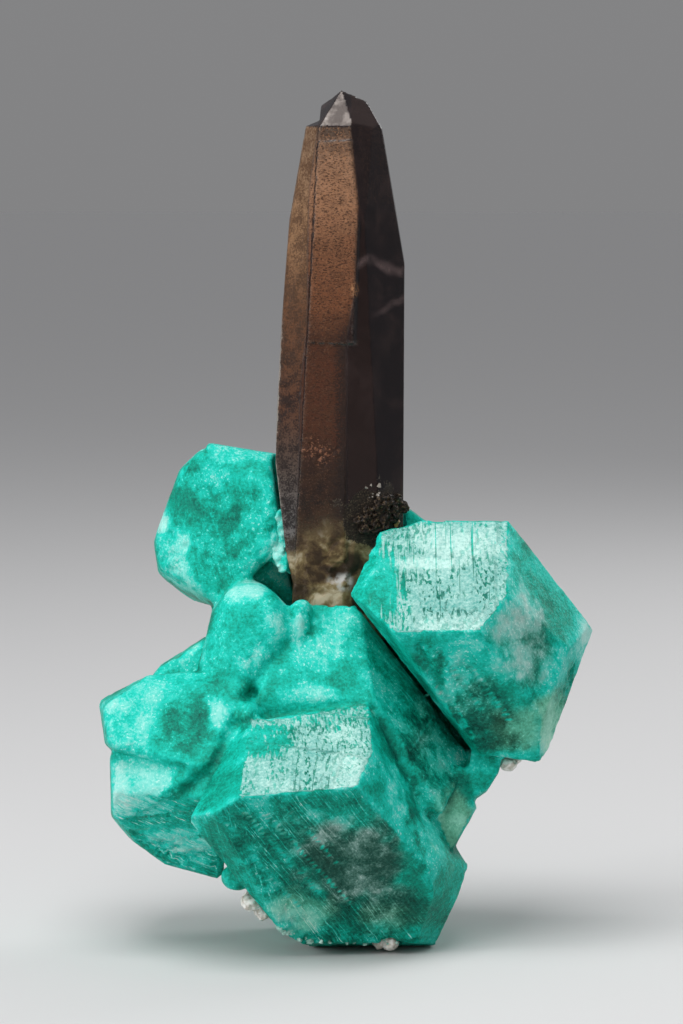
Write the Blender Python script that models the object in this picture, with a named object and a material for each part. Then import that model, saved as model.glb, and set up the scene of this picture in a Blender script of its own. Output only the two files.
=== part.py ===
"""Amazonite crystals grown together with a smoky quartz prism and a little white albite.

Every crystal is a block with flat faces. Its faces are listed in tables: each face is named, with
three points that lie in it, in millimetres, as (right, back, up) from the middle of the
flat spot that the specimen rests on. The front is toward -Y and up is +Z.
"""

import math
import random

import bmesh
import bpy
from mathutils import Matrix, Vector
from mathutils.bvhtree import BVHTree

MM = 0.001

# Driving dimensions, in metres
SEAM_GAP = 0.3 * MM
BLOCK_SIDE = 400 * MM
SAME_POINT = 0.002 * MM
CRISP_EDGE = 0.45 * MM
WORN_EDGE = 1.3 * MM
SOFT_EDGE = 1.8 * MM
ROUNDED_EDGE = 3.0 * MM
QUARTZ_EDGE = 0.12 * MM
CLEAVAGE_STEP = 0.5 * MM
RECESS_DEPTH = 1.6 * MM
LOW_RECESS_DEPTH = 0.4 * MM
LEDGE_INSET = 0.06 * MM
LEAST_BEND = math.radians(7)
LUMP_UNEVEN = 0.06
CHIP_UNEVEN = (0.75, 1.1)
GROOVE_TAPER = 0.6

FRONT_CRYSTAL = {
    "pale": ((-15.2, -15.0, 33.5), (0.7, -13.5, 35.3), (-16.6, -27.0, 24.6)),
    "top": ((-16.6, -14.0, 32.7), (0.8, -13.5, 35.3), (-7.2, 2.0, 28.0)),
    "left": ((-15.2, -15.0, 33.5), (-16.6, -27.0, 24.6), (-21.1, -25.0, 21.8)),
    "left_back": ((-23.5, -22.0, 20.0), (-15.7, -13.0, 34.8), (-17.1, 2.0, 20.8)),
    "lower": ((-16.6, -27.3, 24.1), (-0.6, -26.5, 25.6), (-2.3, -13.0, 1.4)),
    "strip": ((-21.1, -25.3, 21.7), (-15.0, -20.0, 11.8), (-23.5, -22.0, 20.0)),
    "lower_left": ((-23.5, -22.0, 20.0), (-16.9, -17.0, 11.1), (-17.2, 4.0, 11.9)),
    "right": ((1.6, -21.3, 29.5), (-0.6, -26.3, 25.7), (12.8, -11.5, 16.2)),
    "right_up": ((1.1, -14.0, 35.0), (1.7, -20.0, 30.4), (7.1, -10.0, 25.1)),
    "right_back": ((1.0, -13.0, 34.9), (13.9, -9.5, 14.1), (8.5, 5.0, 18.9)),
    "facet": ((12.2, -13.0, 14.5), (14.8, -7.0, 9.5), (9.4, -17.5, 9.9)),
    "pale_low": ((9.4, -17.5, 9.7), (13.2, -11.5, 9.1), (9.6, -9.0, 1.2)),
    "right_low": ((14.8, -7.0, 10.6), (11.1, -6.0, 1.9), (11.3, 5.0, 4.5)),
    "bottom_left": ((-16.9, -17.0, 11.1), (-11.3, -12.0, 3.3), (-14.3, 2.0, 5.0)),
    "bottom_left2": ((-11.3, -12.0, 3.3), (-7.4, -10.0, 0.6), (-10.8, 3.0, 1.2)),
    "bottom_front": ((-8.5, -12.8, 1.4), (8.2, -11.5, 1.3), (0.0, -6.5, 0.0)),
    "bottom": ((0.0, 0.0, 0.0), (1.0, 0.0, 0.0), (0.0, 1.0, 0.0)),
    "back": ((-8.7, 9.0, 18.3), (5.7, 9.0, 18.3), (-8.7, 11.0, 3.4)),
}

RIGHT_CRYSTAL = {
    "pale": ((7.0, -4.0, 59.9), (20.6, -4.0, 59.9), (16.1, -17.0, 45.7)),
    "top": ((7.0, -4.0, 59.9), (20.6, -4.0, 59.9), (14.3, 14.0, 52.4)),
    "left": ((3.0, -5.2, 58.6), (0.9, -13.0, 50.0), (-1.6, -10.0, 50.2)),
    "left_back": ((2.8, -4.0, 58.5), (-1.6, -10.0, 50.2), (5.7, 12.0, 46.9)),
    "corner": ((8.9, -4.0, 59.9), (3.0, -5.2, 58.5), (5.6, 6.0, 56.1)),
    "lower_left": ((4.1, -17.0, 45.6), (-0.7, -11.0, 49.1), (15.5, -5.0, 27.4)),
    "under_left": ((-1.0, -9.5, 49.3), (15.5, -5.0, 27.4), (10.0, 12.0, 41.1)),
    "lower": ((4.1, -17.0, 45.6), (16.1, -17.0, 45.7), (19.4, -8.0, 27.0)),
    "big": ((16.1, -17.0, 45.7), (20.3, -12.7, 50.3), (30.9, -5.0, 41.0)),
    "upper_right": ((20.6, -4.0, 59.9), (20.3, -12.7, 50.3), (30.3, 0.0, 47.4)),
    "right_back": ((20.6, -4.0, 59.9), (32.8, 0.0, 44.2), (28.8, 14.0, 46.6)),
    "band": ((29.2, -7.0, 43.3), (24.8, -10.0, 29.4), (31.0, 0.0, 39.5)),
    "right_low": ((32.8, 0.0, 43.3), (26.4, -3.0, 27.6), (28.8, 14.0, 33.6)),
    "bottom": ((15.5, -5.0, 27.4), (24.5, -5.0, 25.9), (20.1, 13.0, 25.7)),
    "bottom_right": ((24.5, -5.0, 25.9), (26.3, -3.0, 27.7), (25.1, 10.0, 26.6)),
    "back": ((5.7, 15.0, 46.5), (20.1, 15.0, 52.3), (20.3, 17.0, 28.8)),
}

CENTRE_CRYSTAL = {
    "front": ((-7.7, -6.0, 47.1), (-0.6, -6.0, 47.1), (2.0, -13.0, 35.5)),
    "right": ((-0.3, -6.0, 47.5), (2.0, -13.0, 35.5), (15.5, -4.0, 26.4)),
    "right_back": ((0.7, -4.0, 46.1), (15.5, -4.0, 26.4), (8.6, 14.0, 33.6)),
    "top": ((-9.5, -5.0, 48.1), (-0.9, -5.0, 48.0), (-4.4, 10.0, 46.5)),
    "left": ((-9.8, -6.0, 46.0), (-13.7, -10.0, 39.1), (-13.0, 10.0, 41.3)),
    "left_low": ((-13.7, -10.0, 39.1), (-14.7, -12.0, 35.4), (-13.7, 10.0, 32.6)),
    "low": ((-8.5, -12.0, 23.0), (11.0, -8.0, 18.8), (1.3, 8.0, 17.0)),
    "right_low": ((15.4, -4.0, 26.0), (11.0, -8.0, 18.8), (12.9, 10.0, 21.0)),
    "front_low": ((2.0, -13.0, 35.5), (-8.5, -12.6, 35.5), (-4.3, -12.4, 24.5)),
    "back": ((-8.7, 12.0, 17.8), (5.7, 12.0, 17.8), (-8.7, 12.0, 3.2)),
}

UPPER_LEFT_CRYSTAL = {
    "front": ((-20.9, 3.0, 68.4), (-13.9, 1.0, 66.4), (-19.1, -1.0, 49.7)),
    "top": ((-21.1, 5.0, 70.0), (-12.1, 4.0, 68.6), (-17.4, 16.0, 68.6)),
    "top_band": ((-21.7, 3.5, 68.9), (-12.1, 1.5, 66.1), (-16.4, 5.0, 69.3)),
    "left_top": ((-21.9, 5.0, 69.9), (-25.2, 6.0, 66.7), (-23.9, 14.0, 67.7)),
    "left_up": ((-26.2, 6.0, 65.1), (-29.3, 7.0, 56.6), (-28.0, 14.0, 60.4)),
    "left_face": ((-24.2, 3.5, 66.3), (-27.4, 5.0, 57.6), (-25.1, 1.5, 50.8)),
    "left": ((-29.6, 8.0, 55.9), (-28.9, 7.0, 51.6), (-29.6, 14.0, 53.0)),
    "left_low": ((-28.9, 7.0, 51.6), (-24.5, 5.0, 47.3), (-27.2, 14.0, 48.4)),
    "bottom_left": ((-24.4, 3.0, 47.5), (-20.9, 2.0, 46.9), (-23.1, 14.0, 46.2)),
    "low_face": ((-27.7, 3.0, 51.8), (-22.0, 1.0, 48.3), (-21.1, 4.0, 46.9)),
    "bottom": ((-20.9, 2.0, 46.9), (-14.3, 2.0, 49.4), (-17.4, 14.0, 46.9)),
    "right_low": ((-11.6, 0.0, 55.1), (-16.8, 0.0, 49.8), (-15.0, 12.0, 50.4)),
    "right": ((-10.4, 1.0, 60.8), (-11.4, 1.0, 55.0), (-11.1, 12.0, 57.0)),
    "right_up": ((-10.4, 4.0, 70.5), (-10.4, 3.0, 59.2), (-10.4, 14.0, 65.4)),
    "back": ((-29.0, 17.0, 66.7), (-13.1, 18.0, 66.6), (-23.2, 16.0, 46.4)),
    "back_top": ((-23.0, 12.0, 69.0), (-12.3, 13.0, 67.4), (-17.4, 18.0, 65.1)),
}

LEFT_TOP_CRYSTAL = {
    "front": ((-32.7, -12.0, 34.8), (-16.7, -13.5, 35.7), (-26.3, -16.0, 30.3)),
    "top": ((-30.4, -8.0, 38.1), (-24.3, -7.0, 39.7), (-32.7, -12.0, 35.5)),
    "top_right": ((-24.3, -7.0, 39.7), (-19.0, -8.0, 39.2), (-20.2, -12.5, 38.1)),
    "roof": ((-29.5, -6.0, 38.7), (-19.0, -6.0, 39.0), (-25.8, 6.0, 37.8)),
    "right_top": ((-16.7, -9.0, 38.4), (-14.6, -9.0, 36.0), (-16.5, 6.0, 35.3)),
    "left_top": ((-30.5, -7.0, 38.0), (-35.7, -8.0, 34.7), (-34.3, 6.0, 34.9)),
    "left": ((-36.2, -9.0, 33.5), (-35.4, -11.0, 29.3), (-36.8, 4.0, 29.8)),
    "left_low": ((-35.4, -11.0, 29.3), (-34.2, -12.0, 28.3), (-36.0, 4.0, 26.7)),
    "right_face": ((-16.3, -12.8, 36.2), (-19.2, -15.0, 27.1), (-14.6, -8.0, 35.9)),
    "right": ((-14.6, -9.0, 36.0), (-19.4, -12.0, 25.9), (-16.5, 4.0, 30.6)),
    "low": ((-19.4, -13.0, 26.1), (-22.7, -14.0, 25.4), (-21.5, 4.0, 23.1)),
    "under": ((-34.2, -12.0, 28.3), (-22.7, -14.0, 25.4), (-30.0, 4.0, 24.1)),
    "back": ((-34.5, 10.0, 32.6), (-17.3, 10.0, 32.6), (-27.4, 10.0, 23.9)),
    "back_top": ((-34.3, 6.0, 34.6), (-17.2, 6.0, 36.0), (-27.4, 10.0, 34.1)),
}

LEFT_LOW_CRYSTAL = {
    "front": ((-33.6, -13.0, 27.0), (-34.1, -15.0, 22.0), (-22.8, -18.0, 27.4)),
    "lower": ((-34.4, -14.0, 21.9), (-24.2, -18.5, 23.0), (-22.5, -8.0, 10.4)),
    "top": ((-34.9, -12.0, 28.3), (-30.0, -13.5, 30.4), (-32.8, 4.0, 27.0)),
    "top_right": ((-30.0, -13.5, 30.4), (-22.2, -16.0, 28.9), (-27.1, 4.0, 27.0)),
    "left": ((-34.9, -12.0, 27.6), (-34.8, -12.0, 19.9), (-35.7, 4.0, 20.5)),
    "left_low": ((-34.8, -12.0, 19.6), (-31.6, -10.5, 15.3), (-34.3, 4.0, 15.1)),
    "bottom_left": ((-31.6, -10.5, 15.3), (-27.4, -9.0, 11.9), (-30.0, 4.0, 11.2)),
    "bottom": ((-27.4, -9.0, 11.9), (-20.4, -8.0, 9.8), (-24.3, 4.0, 8.7)),
    "right": ((-18.8, -14.0, 21.9), (-19.0, -10.0, 12.8), (-19.3, 4.0, 14.8)),
    "back": ((-34.5, 9.0, 24.1), (-23.1, 10.0, 23.9), (-28.7, 6.0, 11.5)),
}

KNOB = {
    "front": ((-18.9, -8.5, 47.4), (-12.0, -9.5, 47.5), (-15.4, -11.0, 41.0)),
    "top": ((-18.1, -3.0, 51.0), (-13.9, -3.0, 51.0), (-16.3, 5.0, 50.6)),
    "top_left": ((-18.1, -3.0, 51.0), (-20.6, -4.0, 47.7), (-19.7, 6.0, 48.4)),
    "top_front": ((-18.0, -5.0, 50.7), (-13.8, -5.5, 50.7), (-16.0, -8.5, 48.8)),
    "left": ((-20.9, -4.0, 47.5), (-22.2, -5.0, 41.9), (-21.7, 6.0, 43.5)),
    "right_top": ((-13.6, -3.0, 50.9), (-10.5, -4.0, 48.3), (-12.2, 6.0, 48.6)),
    "right": ((-10.4, -5.0, 48.7), (-9.8, -6.0, 43.2), (-10.2, 6.0, 44.6)),
    "right_low": ((-9.8, -6.0, 43.2), (-14.6, -9.0, 36.5), (-12.9, 4.0, 38.4)),
    "left_front": ((-20.2, -6.0, 47.4), (-21.6, -7.5, 42.0), (-18.5, -9.5, 45.0)),
    "bottom": ((-21.1, -6.0, 34.8), (-14.1, -8.0, 35.0), (-17.9, 4.0, 33.4)),
    "back": ((-18.6, 7.0, 44.5), (-11.5, 7.0, 44.5), (-15.8, 7.0, 38.8)),
}

BEHIND_KNOB_CRYSTAL = {
    "upper_left": ((-27.7, -3.0, 39.4), (-22.5, -3.0, 42.7), (-25.7, 6.0, 40.1)),
    "front": ((-26.8, -4.5, 39.1), (-22.1, -4.5, 42.2), (-23.2, -6.0, 36.2)),
    "left": ((-28.0, -2.0, 39.3), (-31.0, -4.0, 35.9), (-30.0, 6.0, 36.5)),
    "right": ((-20.5, -2.0, 42.7), (-20.5, -4.0, 35.9), (-20.8, 6.0, 38.2)),
    "bottom": ((-29.6, -4.0, 33.1), (-20.5, -4.0, 33.1), (-25.8, 6.0, 31.7)),
    "back": ((-28.7, 8.0, 35.8), (-21.5, 8.0, 35.8), (-24.4, 7.0, 40.2)),
}

SMALL_RIGHT_CRYSTAL = {
    "front": ((15.9, -6.5, 27.8), (19.9, -6.0, 27.3), (17.7, -8.0, 22.4)),
    "left": ((15.5, -5.0, 28.3), (14.6, -7.0, 23.2), (15.5, 6.0, 23.8)),
    "right": ((20.0, -5.0, 27.6), (19.4, -6.0, 24.6), (20.1, 5.0, 24.7)),
    "right_low": ((19.4, -6.0, 24.6), (17.6, -7.0, 21.9), (18.9, 5.0, 21.5)),
    "bottom": ((17.7, -7.0, 22.1), (15.8, -7.5, 20.9), (17.2, 5.0, 19.5)),
    "left_low": ((14.6, -7.0, 23.2), (15.9, -7.5, 20.8), (15.6, 5.0, 20.1)),
    "top": ((15.3, -5.0, 29.7), (20.2, -5.0, 29.7), (18.1, 5.0, 28.3)),
    "back": ((16.4, 8.0, 24.2), (20.0, 8.0, 24.2), (17.8, 7.0, 20.1)),
}

PALE_RIGHT_CRYSTAL = {
    "front": ((14.1, -7.5, 24.4), (12.1, -9.0, 16.9), (15.9, -8.0, 20.5)),
    "top": ((14.7, -6.0, 24.0), (15.9, -7.0, 20.9), (15.6, 6.0, 20.5)),
    "right": ((15.9, -7.0, 20.9), (16.3, -7.0, 19.7), (16.6, 6.0, 18.3)),
    "right_low": ((16.3, -7.0, 19.7), (13.7, -8.5, 15.4), (15.3, 6.0, 15.2)),
    "left": ((12.7, -6.0, 24.2), (9.6, -8.0, 18.8), (11.3, 6.0, 19.5)),
    "bottom": ((9.6, -8.0, 13.9), (14.2, -8.0, 13.6), (12.8, 6.0, 11.3)),
    "up": ((11.0, -6.0, 25.6), (14.7, -6.0, 25.6), (13.5, 6.0, 23.8)),
    "back": ((11.4, 7.0, 18.6), (15.7, 7.0, 18.6), (13.5, 6.0, 14.4)),
}

BACK_UPPER_CRYSTAL = {
    "top_right": ((7.0, 9.0, 60.3), (9.9, 9.0, 58.2), (8.6, 15.0, 58.8)),
    "top_left": ((7.0, 9.0, 60.3), (-1.5, 9.0, 58.7), (2.8, 15.0, 59.0)),
    "right": ((10.8, 9.0, 55.8), (11.4, 9.0, 41.4), (11.2, 15.0, 48.0)),
    "left": ((-4.4, 9.0, 52.9), (-3.7, 9.0, 41.4), (-4.1, 15.0, 46.5)),
    "left_top": ((-1.2, 9.0, 58.5), (-4.4, 9.0, 52.9), (-3.0, 15.0, 55.2)),
    "front": ((-1.5, 6.0, 53.2), (9.8, 6.0, 53.2), (4.2, 5.0, 41.9)),
    "bottom": ((-4.4, 9.0, 34.2), (11.4, 9.0, 32.8), (4.3, 15.0, 32.7)),
    "back": ((-1.5, 21.0, 51.7), (10.1, 19.0, 51.9), (4.3, 22.0, 39.9)),
    "back_top": ((-1.5, 17.0, 57.4), (10.0, 16.0, 56.6), (4.3, 20.5, 54.0)),
}

BACK_SHOULDER_CRYSTAL = {
    "top": ((-19.0, 8.0, 53.6), (-5.0, 8.0, 55.6), (-12.0, 15.0, 55.0)),
    "left": ((-20.0, 8.0, 53.0), (-22.0, 8.0, 40.0), (-21.4, 14.0, 46.0)),
    "right": ((-3.6, 8.0, 55.0), (-3.0, 8.0, 38.0), (-3.8, 14.0, 46.0)),
    "front": ((-18.0, 3.6, 50.0), (-6.0, 3.4, 50.0), (-12.0, 2.0, 38.0)),
    "bottom": ((-20.0, 6.0, 33.0), (-5.0, 6.0, 35.0), (-12.0, 13.0, 34.0)),
    "back": ((-18.0, 16.0, 50.0), (-6.0, 15.0, 50.0), (-12.0, 17.0, 38.0)),
    "back_top": ((-18.0, 13.0, 54.0), (-6.0, 12.0, 55.4), (-12.0, 15.6, 51.0)),
}

BACK_MIDDLE_CRYSTAL = {
    "top": ((-11.5, 8.0, 41.5), (5.6, 10.0, 39.1), (-3.0, 16.0, 40.6)),
    "left": ((-13.2, 8.0, 38.7), (-14.1, 8.0, 18.5), (-13.8, 16.0, 27.5)),
    "right": ((10.6, 8.0, 37.0), (17.4, 7.0, 27.0), (14.0, 18.0, 28.6)),
    "right_low": ((17.2, 8.0, 26.0), (11.6, 8.0, 11.2), (13.0, 14.0, 17.5)),
    "front": ((-8.6, 4.0, 33.4), (5.6, 4.0, 33.4), (-1.5, 4.0, 19.1)),
    "bottom": ((-14.2, 8.0, 9.8), (11.4, 8.0, 5.4), (-1.5, 16.0, 5.5)),
    "back": ((-10.3, 23.0, 32.4), (5.8, 21.0, 31.2), (-1.5, 20.0, 16.6)),
    "back_low": ((-10.3, 20.0, 16.6), (8.7, 18.0, 15.4), (-1.5, 11.0, 7.8)),
    "back_left": ((-13.1, 15.0, 33.4), (-13.4, 14.0, 19.0), (-8.8, 22.5, 25.1)),
}

BACK_LEFT_CRYSTAL = {
    "top": ((-32.2, 6.0, 30.6), (-16.5, 6.0, 33.4), (-24.6, 13.0, 31.0)),
    "left": ((-34.6, 5.0, 33.3), (-34.3, 5.0, 18.9), (-34.8, 12.0, 25.1)),
    "right": ((-14.1, 5.0, 33.3), (-14.1, 5.0, 16.0), (-14.2, 12.0, 23.7)),
    "front": ((-29.8, 0.0, 31.1), (-17.1, 0.0, 31.1), (-24.2, 0.0, 19.7)),
    "bottom": ((-32.9, 4.0, 15.1), (-14.4, 4.0, 10.2), (-24.6, 10.0, 11.6)),
    "back": ((-32.0, 17.0, 30.3), (-16.1, 19.0, 30.0), (-24.7, 14.0, 19.0)),
    "back_low": ((-31.9, 13.5, 19.1), (-16.0, 15.0, 17.4), (-23.0, 6.0, 11.5)),
}

BACK_LOW_CRYSTAL = {
    "left": ((-14.0, 2.0, 12.2), (-10.8, 2.0, 0.7), (-12.8, 10.0, 5.0)),
    "right": ((11.3, 3.0, 13.5), (9.2, 3.0, -0.2), (10.4, 10.0, 5.0)),
    "front": ((-8.6, 0.0, 11.1), (5.5, 0.0, 11.1), (-1.5, 0.0, 1.1)),
    "back": ((-11.7, 15.0, 10.0), (10.1, 14.0, 10.2), (-1.5, 9.0, 0.1)),
    "back_low": ((-11.6, 11.0, 1.2), (10.0, 10.0, 1.4), (0.0, 7.5, 0.0)),
    "bottom": ((0.0, 0.0, 0.7), (1.0, 0.0, 0.7), (0.0, 1.0, 0.7)),
    "top": ((-14.0, 3.0, 19.2), (11.3, 3.0, 19.2), (-1.5, 10.0, 18.1)),
}

QUARTZ_PRISM = {
    "front": ((-7.5, -3.2, 87.0), (-0.9, -4.6, 92.4), (-9.0, -3.2, 61.0)),
    "front_up": ((-5.9, -1.2, 114.7), (-1.5, -1.9, 114.7), (-4.3, -3.9, 99.6)),
    "left": ((-7.5, -3.2, 87.0), (-9.2, -3.2, 55.5), (-8.6, 6.0, 71.7)),
    "left_up": ((-5.9, -1.2, 114.7), (-7.4, -3.2, 99.0), (-6.6, 6.0, 107.1)),
    "right1": ((-1.7, -4.5, 92.4), (-2.0, -4.5, 62.7), (1.5, -3.2, 79.4)),
    "right1_up": ((-1.5, -1.9, 114.7), (-0.5, -4.4, 102.3), (1.1, -1.6, 108.7)),
    "right2": ((1.2, -3.2, 90.5), (2.1, -3.0, 67.7), (6.1, 2.5, 76.2)),
    "right2_up": ((1.0, -1.5, 109.9), (2.9, 2.0, 114.4), (5.5, 2.2, 98.9)),
    "side": ((6.1, 2.5, 87.5), (6.0, 2.5, 64.5), (6.1, 8.0, 75.9)),
    "side_up": ((2.9, 2.0, 114.4), (5.5, 2.2, 98.9), (4.3, 8.0, 107.1)),
    "back": ((-7.2, 9.0, 75.8), (4.2, 10.0, 75.8), (-1.5, 9.5, 54.3)),
    "back_up": ((-4.4, 5.5, 114.7), (1.3, 6.0, 114.7), (-1.5, 9.0, 98.6)),
    "back_right": ((6.2, 7.0, 75.9), (6.1, 7.0, 61.7), (3.5, 10.0, 68.6)),
    "back_left": ((-8.6, 4.0, 76.1), (-8.6, 4.0, 54.8), (-5.8, 9.0, 68.7)),
    "tip_front": ((-2.7, 2.4, 119.7), (-5.7, -1.2, 114.8), (-1.8, -1.9, 114.7)),
    "tip_right": ((-2.7, 2.4, 119.7), (-1.4, -1.4, 115.4), (2.5, 1.0, 114.4)),
    "tip_right2": ((-0.7, 3.0, 118.7), (1.9, 2.5, 116.2), (1.2, 0.0, 114.9)),
    "tip_right3": ((1.9, 2.5, 116.2), (2.9, 2.0, 114.4), (2.3, 6.0, 115.4)),
    "tip_left": ((-2.7, 2.4, 119.7), (-5.7, -1.2, 114.8), (-7.4, 3.0, 115.2)),
    "tip_back": ((-2.7, 2.4, 119.7), (-4.4, 6.0, 115.5), (0.6, 6.0, 115.8)),
    "bottom": ((-8.6, 0.0, 42.5), (5.5, 0.0, 42.5), (-1.5, 8.0, 41.5)),
}

QUARTZ_PLATE = {
    "front": ((-7.5, -3.5, 87.0), (-0.9, -4.9, 92.4), (-9.0, -3.5, 61.0)),
    "front_up": ((-5.9, -1.5, 114.7), (-1.5, -2.2, 114.7), (-4.3, -4.2, 99.6)),
    "left": ((-7.4, -3.2, 87.0), (-9.1, -3.2, 55.5), (-8.5, 6.0, 71.7)),
    "left_up": ((-5.8, -1.2, 114.7), (-7.3, -3.2, 99.0), (-6.5, 6.0, 107.1)),
    "right": ((-0.4, -4.4, 101.0), (-0.8, -4.4, 86.0), (0.9, -2.0, 93.0)),
    "right_up": ((-1.2, -2.0, 113.0), (-0.4, -4.4, 101.5), (0.6, -1.0, 107.0)),
    "foot": ((-9.0, -4.0, 84.3), (0.0, -4.0, 84.7), (-4.0, 2.0, 86.4)),
    "top": ((-6.0, -2.0, 112.6), (0.0, -2.0, 112.6), (-3.0, 1.0, 112.0)),
    "back": ((-6.0, 1.0, 110.0), (0.0, 1.0, 110.0), (-3.0, 1.0, 90.0)),
}

QUARTZ_SIDE_PRISM = {
    "front": ((-7.4, -2.3, 99.0), (-8.5, -2.8, 69.0), (-10.9, -1.2, 86.9)),
    "front_up": ((-6.2, -0.7, 114.1), (-7.4, -2.3, 99.0), (-8.4, 0.8, 111.0)),
    "left": ((-11.1, 0.0, 86.9), (-11.9, 0.0, 72.2), (-11.6, 5.0, 80.3)),
    "left_up": ((-7.6, 1.0, 114.7), (-10.1, 0.4, 100.0), (-9.0, 5.0, 107.8)),
    "left_mid": ((-10.1, 0.4, 100.0), (-11.1, 0.0, 86.9), (-10.7, 5.0, 93.7)),
    "left_low": ((-11.9, 0.0, 72.2), (-12.0, 0.0, 67.5), (-12.0, 5.0, 69.7)),
    "left_foot": ((-12.0, 0.0, 67.5), (-10.6, 0.0, 55.2), (-11.5, 5.0, 61.9)),
    "left_foot2": ((-10.6, 0.0, 55.2), (-9.2, 0.0, 49.0), (-9.9, 5.0, 51.9)),
    "back": ((-10.0, 6.0, 76.0), (-7.2, 7.0, 75.9), (-8.6, 6.0, 61.8)),
    "back_up": ((-8.6, 4.0, 114.7), (-5.8, 4.5, 114.7), (-8.6, 6.0, 98.6)),
    "top": ((-7.6, 1.0, 114.7), (-5.7, 1.0, 115.5), (-6.9, 4.0, 115.0)),
    "top_front": ((-7.4, 0.4, 114.4), (-6.0, -0.9, 114.7), (-6.9, 2.5, 115.3)),
    "right": ((-5.6, 0.0, 112.0), (-7.4, 0.0, 60.0), (-6.5, 5.0, 85.0)),
    "bottom": ((-8.6, 0.0, 42.5), (-7.2, 0.0, 42.5), (-8.0, 8.0, 41.5)),
}

# The line across the centre crystal's right face where its cleavage steps down
CLEAVAGE_LINE = ((9.9, -7.0, 32.6), (7.5, -9.0, 28.4), (11.0, 8.0, 28.0))

# The left low crystal's block ends on its lower right in a ledge of two faces
BLOCK_LEDGE = {
    "ledge_right": ((-22.3, -17.5, 26.0), (-24.8, -17.5, 23.4), (-20.5, -8.0, 24.0)),
    "ledge_low": ((-24.8, -17.5, 23.4), (-27.6, -17.0, 22.2), (-24.0, -8.0, 20.6)),
}

# Growth ledges on the upper left crystal, as (right, up) of each ledge's inner corner
LEDGE_CORNERS = [(-22.0, 68.8), (-24.5, 66.7)]

# Grooves on the right crystal's lower faces, as (right, up) of both ends seen from the front, and width
RIGHT_GROOVES = [
    ((7.6, 43.6), (15.4, 29.6), 1.3),
    ((13.4, 42.4), (20.6, 32.4), 0.8),
    ((10.6, 42.6), (16.6, 34.0), 0.6),
]

# Striations on the front crystal's lower face, as (right, up) of both ends and width
FRONT_GROOVES = [
    ((-18.6, 21.0), (-12.4, 12.0), 0.6),
    ((-16.0, 22.0), (-5.6, 9.2), 0.7),
    ((-13.2, 21.8), (-1.4, 7.6), 0.6),
    ((-10.0, 22.2), (-3.2, 13.8), 0.5),
    ((-17.4, 18.4), (-8.6, 7.4), 0.5),
]

# Ridges on the left low crystal's slope are left between these grooves
SLOPE_GROOVES = [
    ((-33.4, 18.2), (-22.0, 20.8), 0.7),
    ((-32.4, 16.4), (-21.4, 19.0), 0.9),
    ((-30.6, 14.6), (-20.6, 16.8), 0.7),
    ((-28.6, 13.0), (-20.0, 14.8), 0.8),
]

# Chips broken from edges, as the chip's middle and size
CHIPS = [
    ((30.3, -2.0, 38.0), 1.5),
    ((27.6, -4.0, 30.6), 1.0),
    ((-4.6, -13.2, 0.6), 1.6),
    ((1.6, -12.8, 0.2), 1.9),
    ((7.2, -12.4, 0.9), 1.4),
    ((-9.6, -12.4, 1.8), 1.6),
    ((-8.4, -27.2, 24.6), 0.9),
]

# Small rounded crystals, as middle, radii and lean from upright in degrees about the front-back axis
LUMPS = {
    "finger": ((-8.6, -6.9, 44.8), (1.7, 1.9, 4.0), 4),
    "finger_top": ((-8.4, -6.6, 47.4), (1.7, 1.8, 2.0), 0),
    "shoulder": ((-15.6, -12.6, 33.6), (2.0, 3.0, 2.2), 0),
    "bud": ((-17.6, -13.2, 10.8), (2.3, 3.2, 1.9), 20),
    "collar": ((-11.2, 1.6, 54.4), (1.9, 2.6, 2.6), -25),
}

# White albite, as lists of (middle, radii) of its lumps
ALBITE = {
    "albite_left": [
        ((-15.2, -11.4, 7.3), (1.7, 2.6, 1.5)),
        ((-13.6, -10.4, 5.7), (1.4, 2.6, 1.4)),
    ],
    "albite_foot": [
        ((4.0, -10.2, 1.45), (1.4, 2.2, 1.4)),
        ((2.4, -9.6, 1.3), (1.0, 1.8, 1.2)),
    ],
    "albite_right": [
        ((20.6, -3.6, 25.6), (1.5, 2.4, 1.3)),
        ((21.6, -2.0, 26.0), (1.3, 2.4, 1.0)),
    ],
}

# Shell-like hollows broken into the front of the quartz near its foot, as (middle, radii)
FRACTURE_SCOOPS = [
    ((-3.4, -7.4, 52.6), (2.6, 3.6, 2.4)),
    ((-6.6, -6.6, 49.6), (2.4, 3.2, 2.0)),
]

# Rows of grains in the dark crust on the quartz, from the lowest up, as its (left, right) reach
CRUST_ROWS = [(0.2, 2.6), (-0.6, 4.4), (0.6, 5.1), (2.4, 5.0)]
CRUST_LOW, CRUST_PITCH = 58.6, 1.25
CRUST_GRAIN = (1.3, 1.6)
CRUST_SINK = 0.6


def empty_scene():
    """Removes every object."""
    for item in list(bpy.data.objects):
        bpy.data.objects.remove(item)


def finish_of(name, colour, roughness):
    """A material with a plain Principled surface."""
    material = bpy.data.materials.new(name)
    material.use_nodes = True
    shader = material.node_tree.nodes["Principled BSDF"]
    shader.inputs["Base Color"].default_value = (*colour, 1.0)
    shader.inputs["Roughness"].default_value = roughness
    shader.inputs["Metallic"].default_value = 0.0
    return material


def add_object(name, solid, material, guide=False):
    """Makes an object of a bmesh. A guide is a shape that is only joined or cut with."""
    bmesh.ops.triangulate(solid, faces=solid.faces[:])
    bmesh.ops.recalc_face_normals(solid, faces=solid.faces[:])
    mesh = bpy.data.meshes.new(name)
    solid.to_mesh(mesh)
    solid.free()
    mesh.materials.append(material)
    item = bpy.data.objects.new(name, mesh)
    bpy.context.scene.collection.objects.link(item)
    if guide:
        item.hide_render = True
        item.display_type = "WIRE"
    return item


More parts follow.
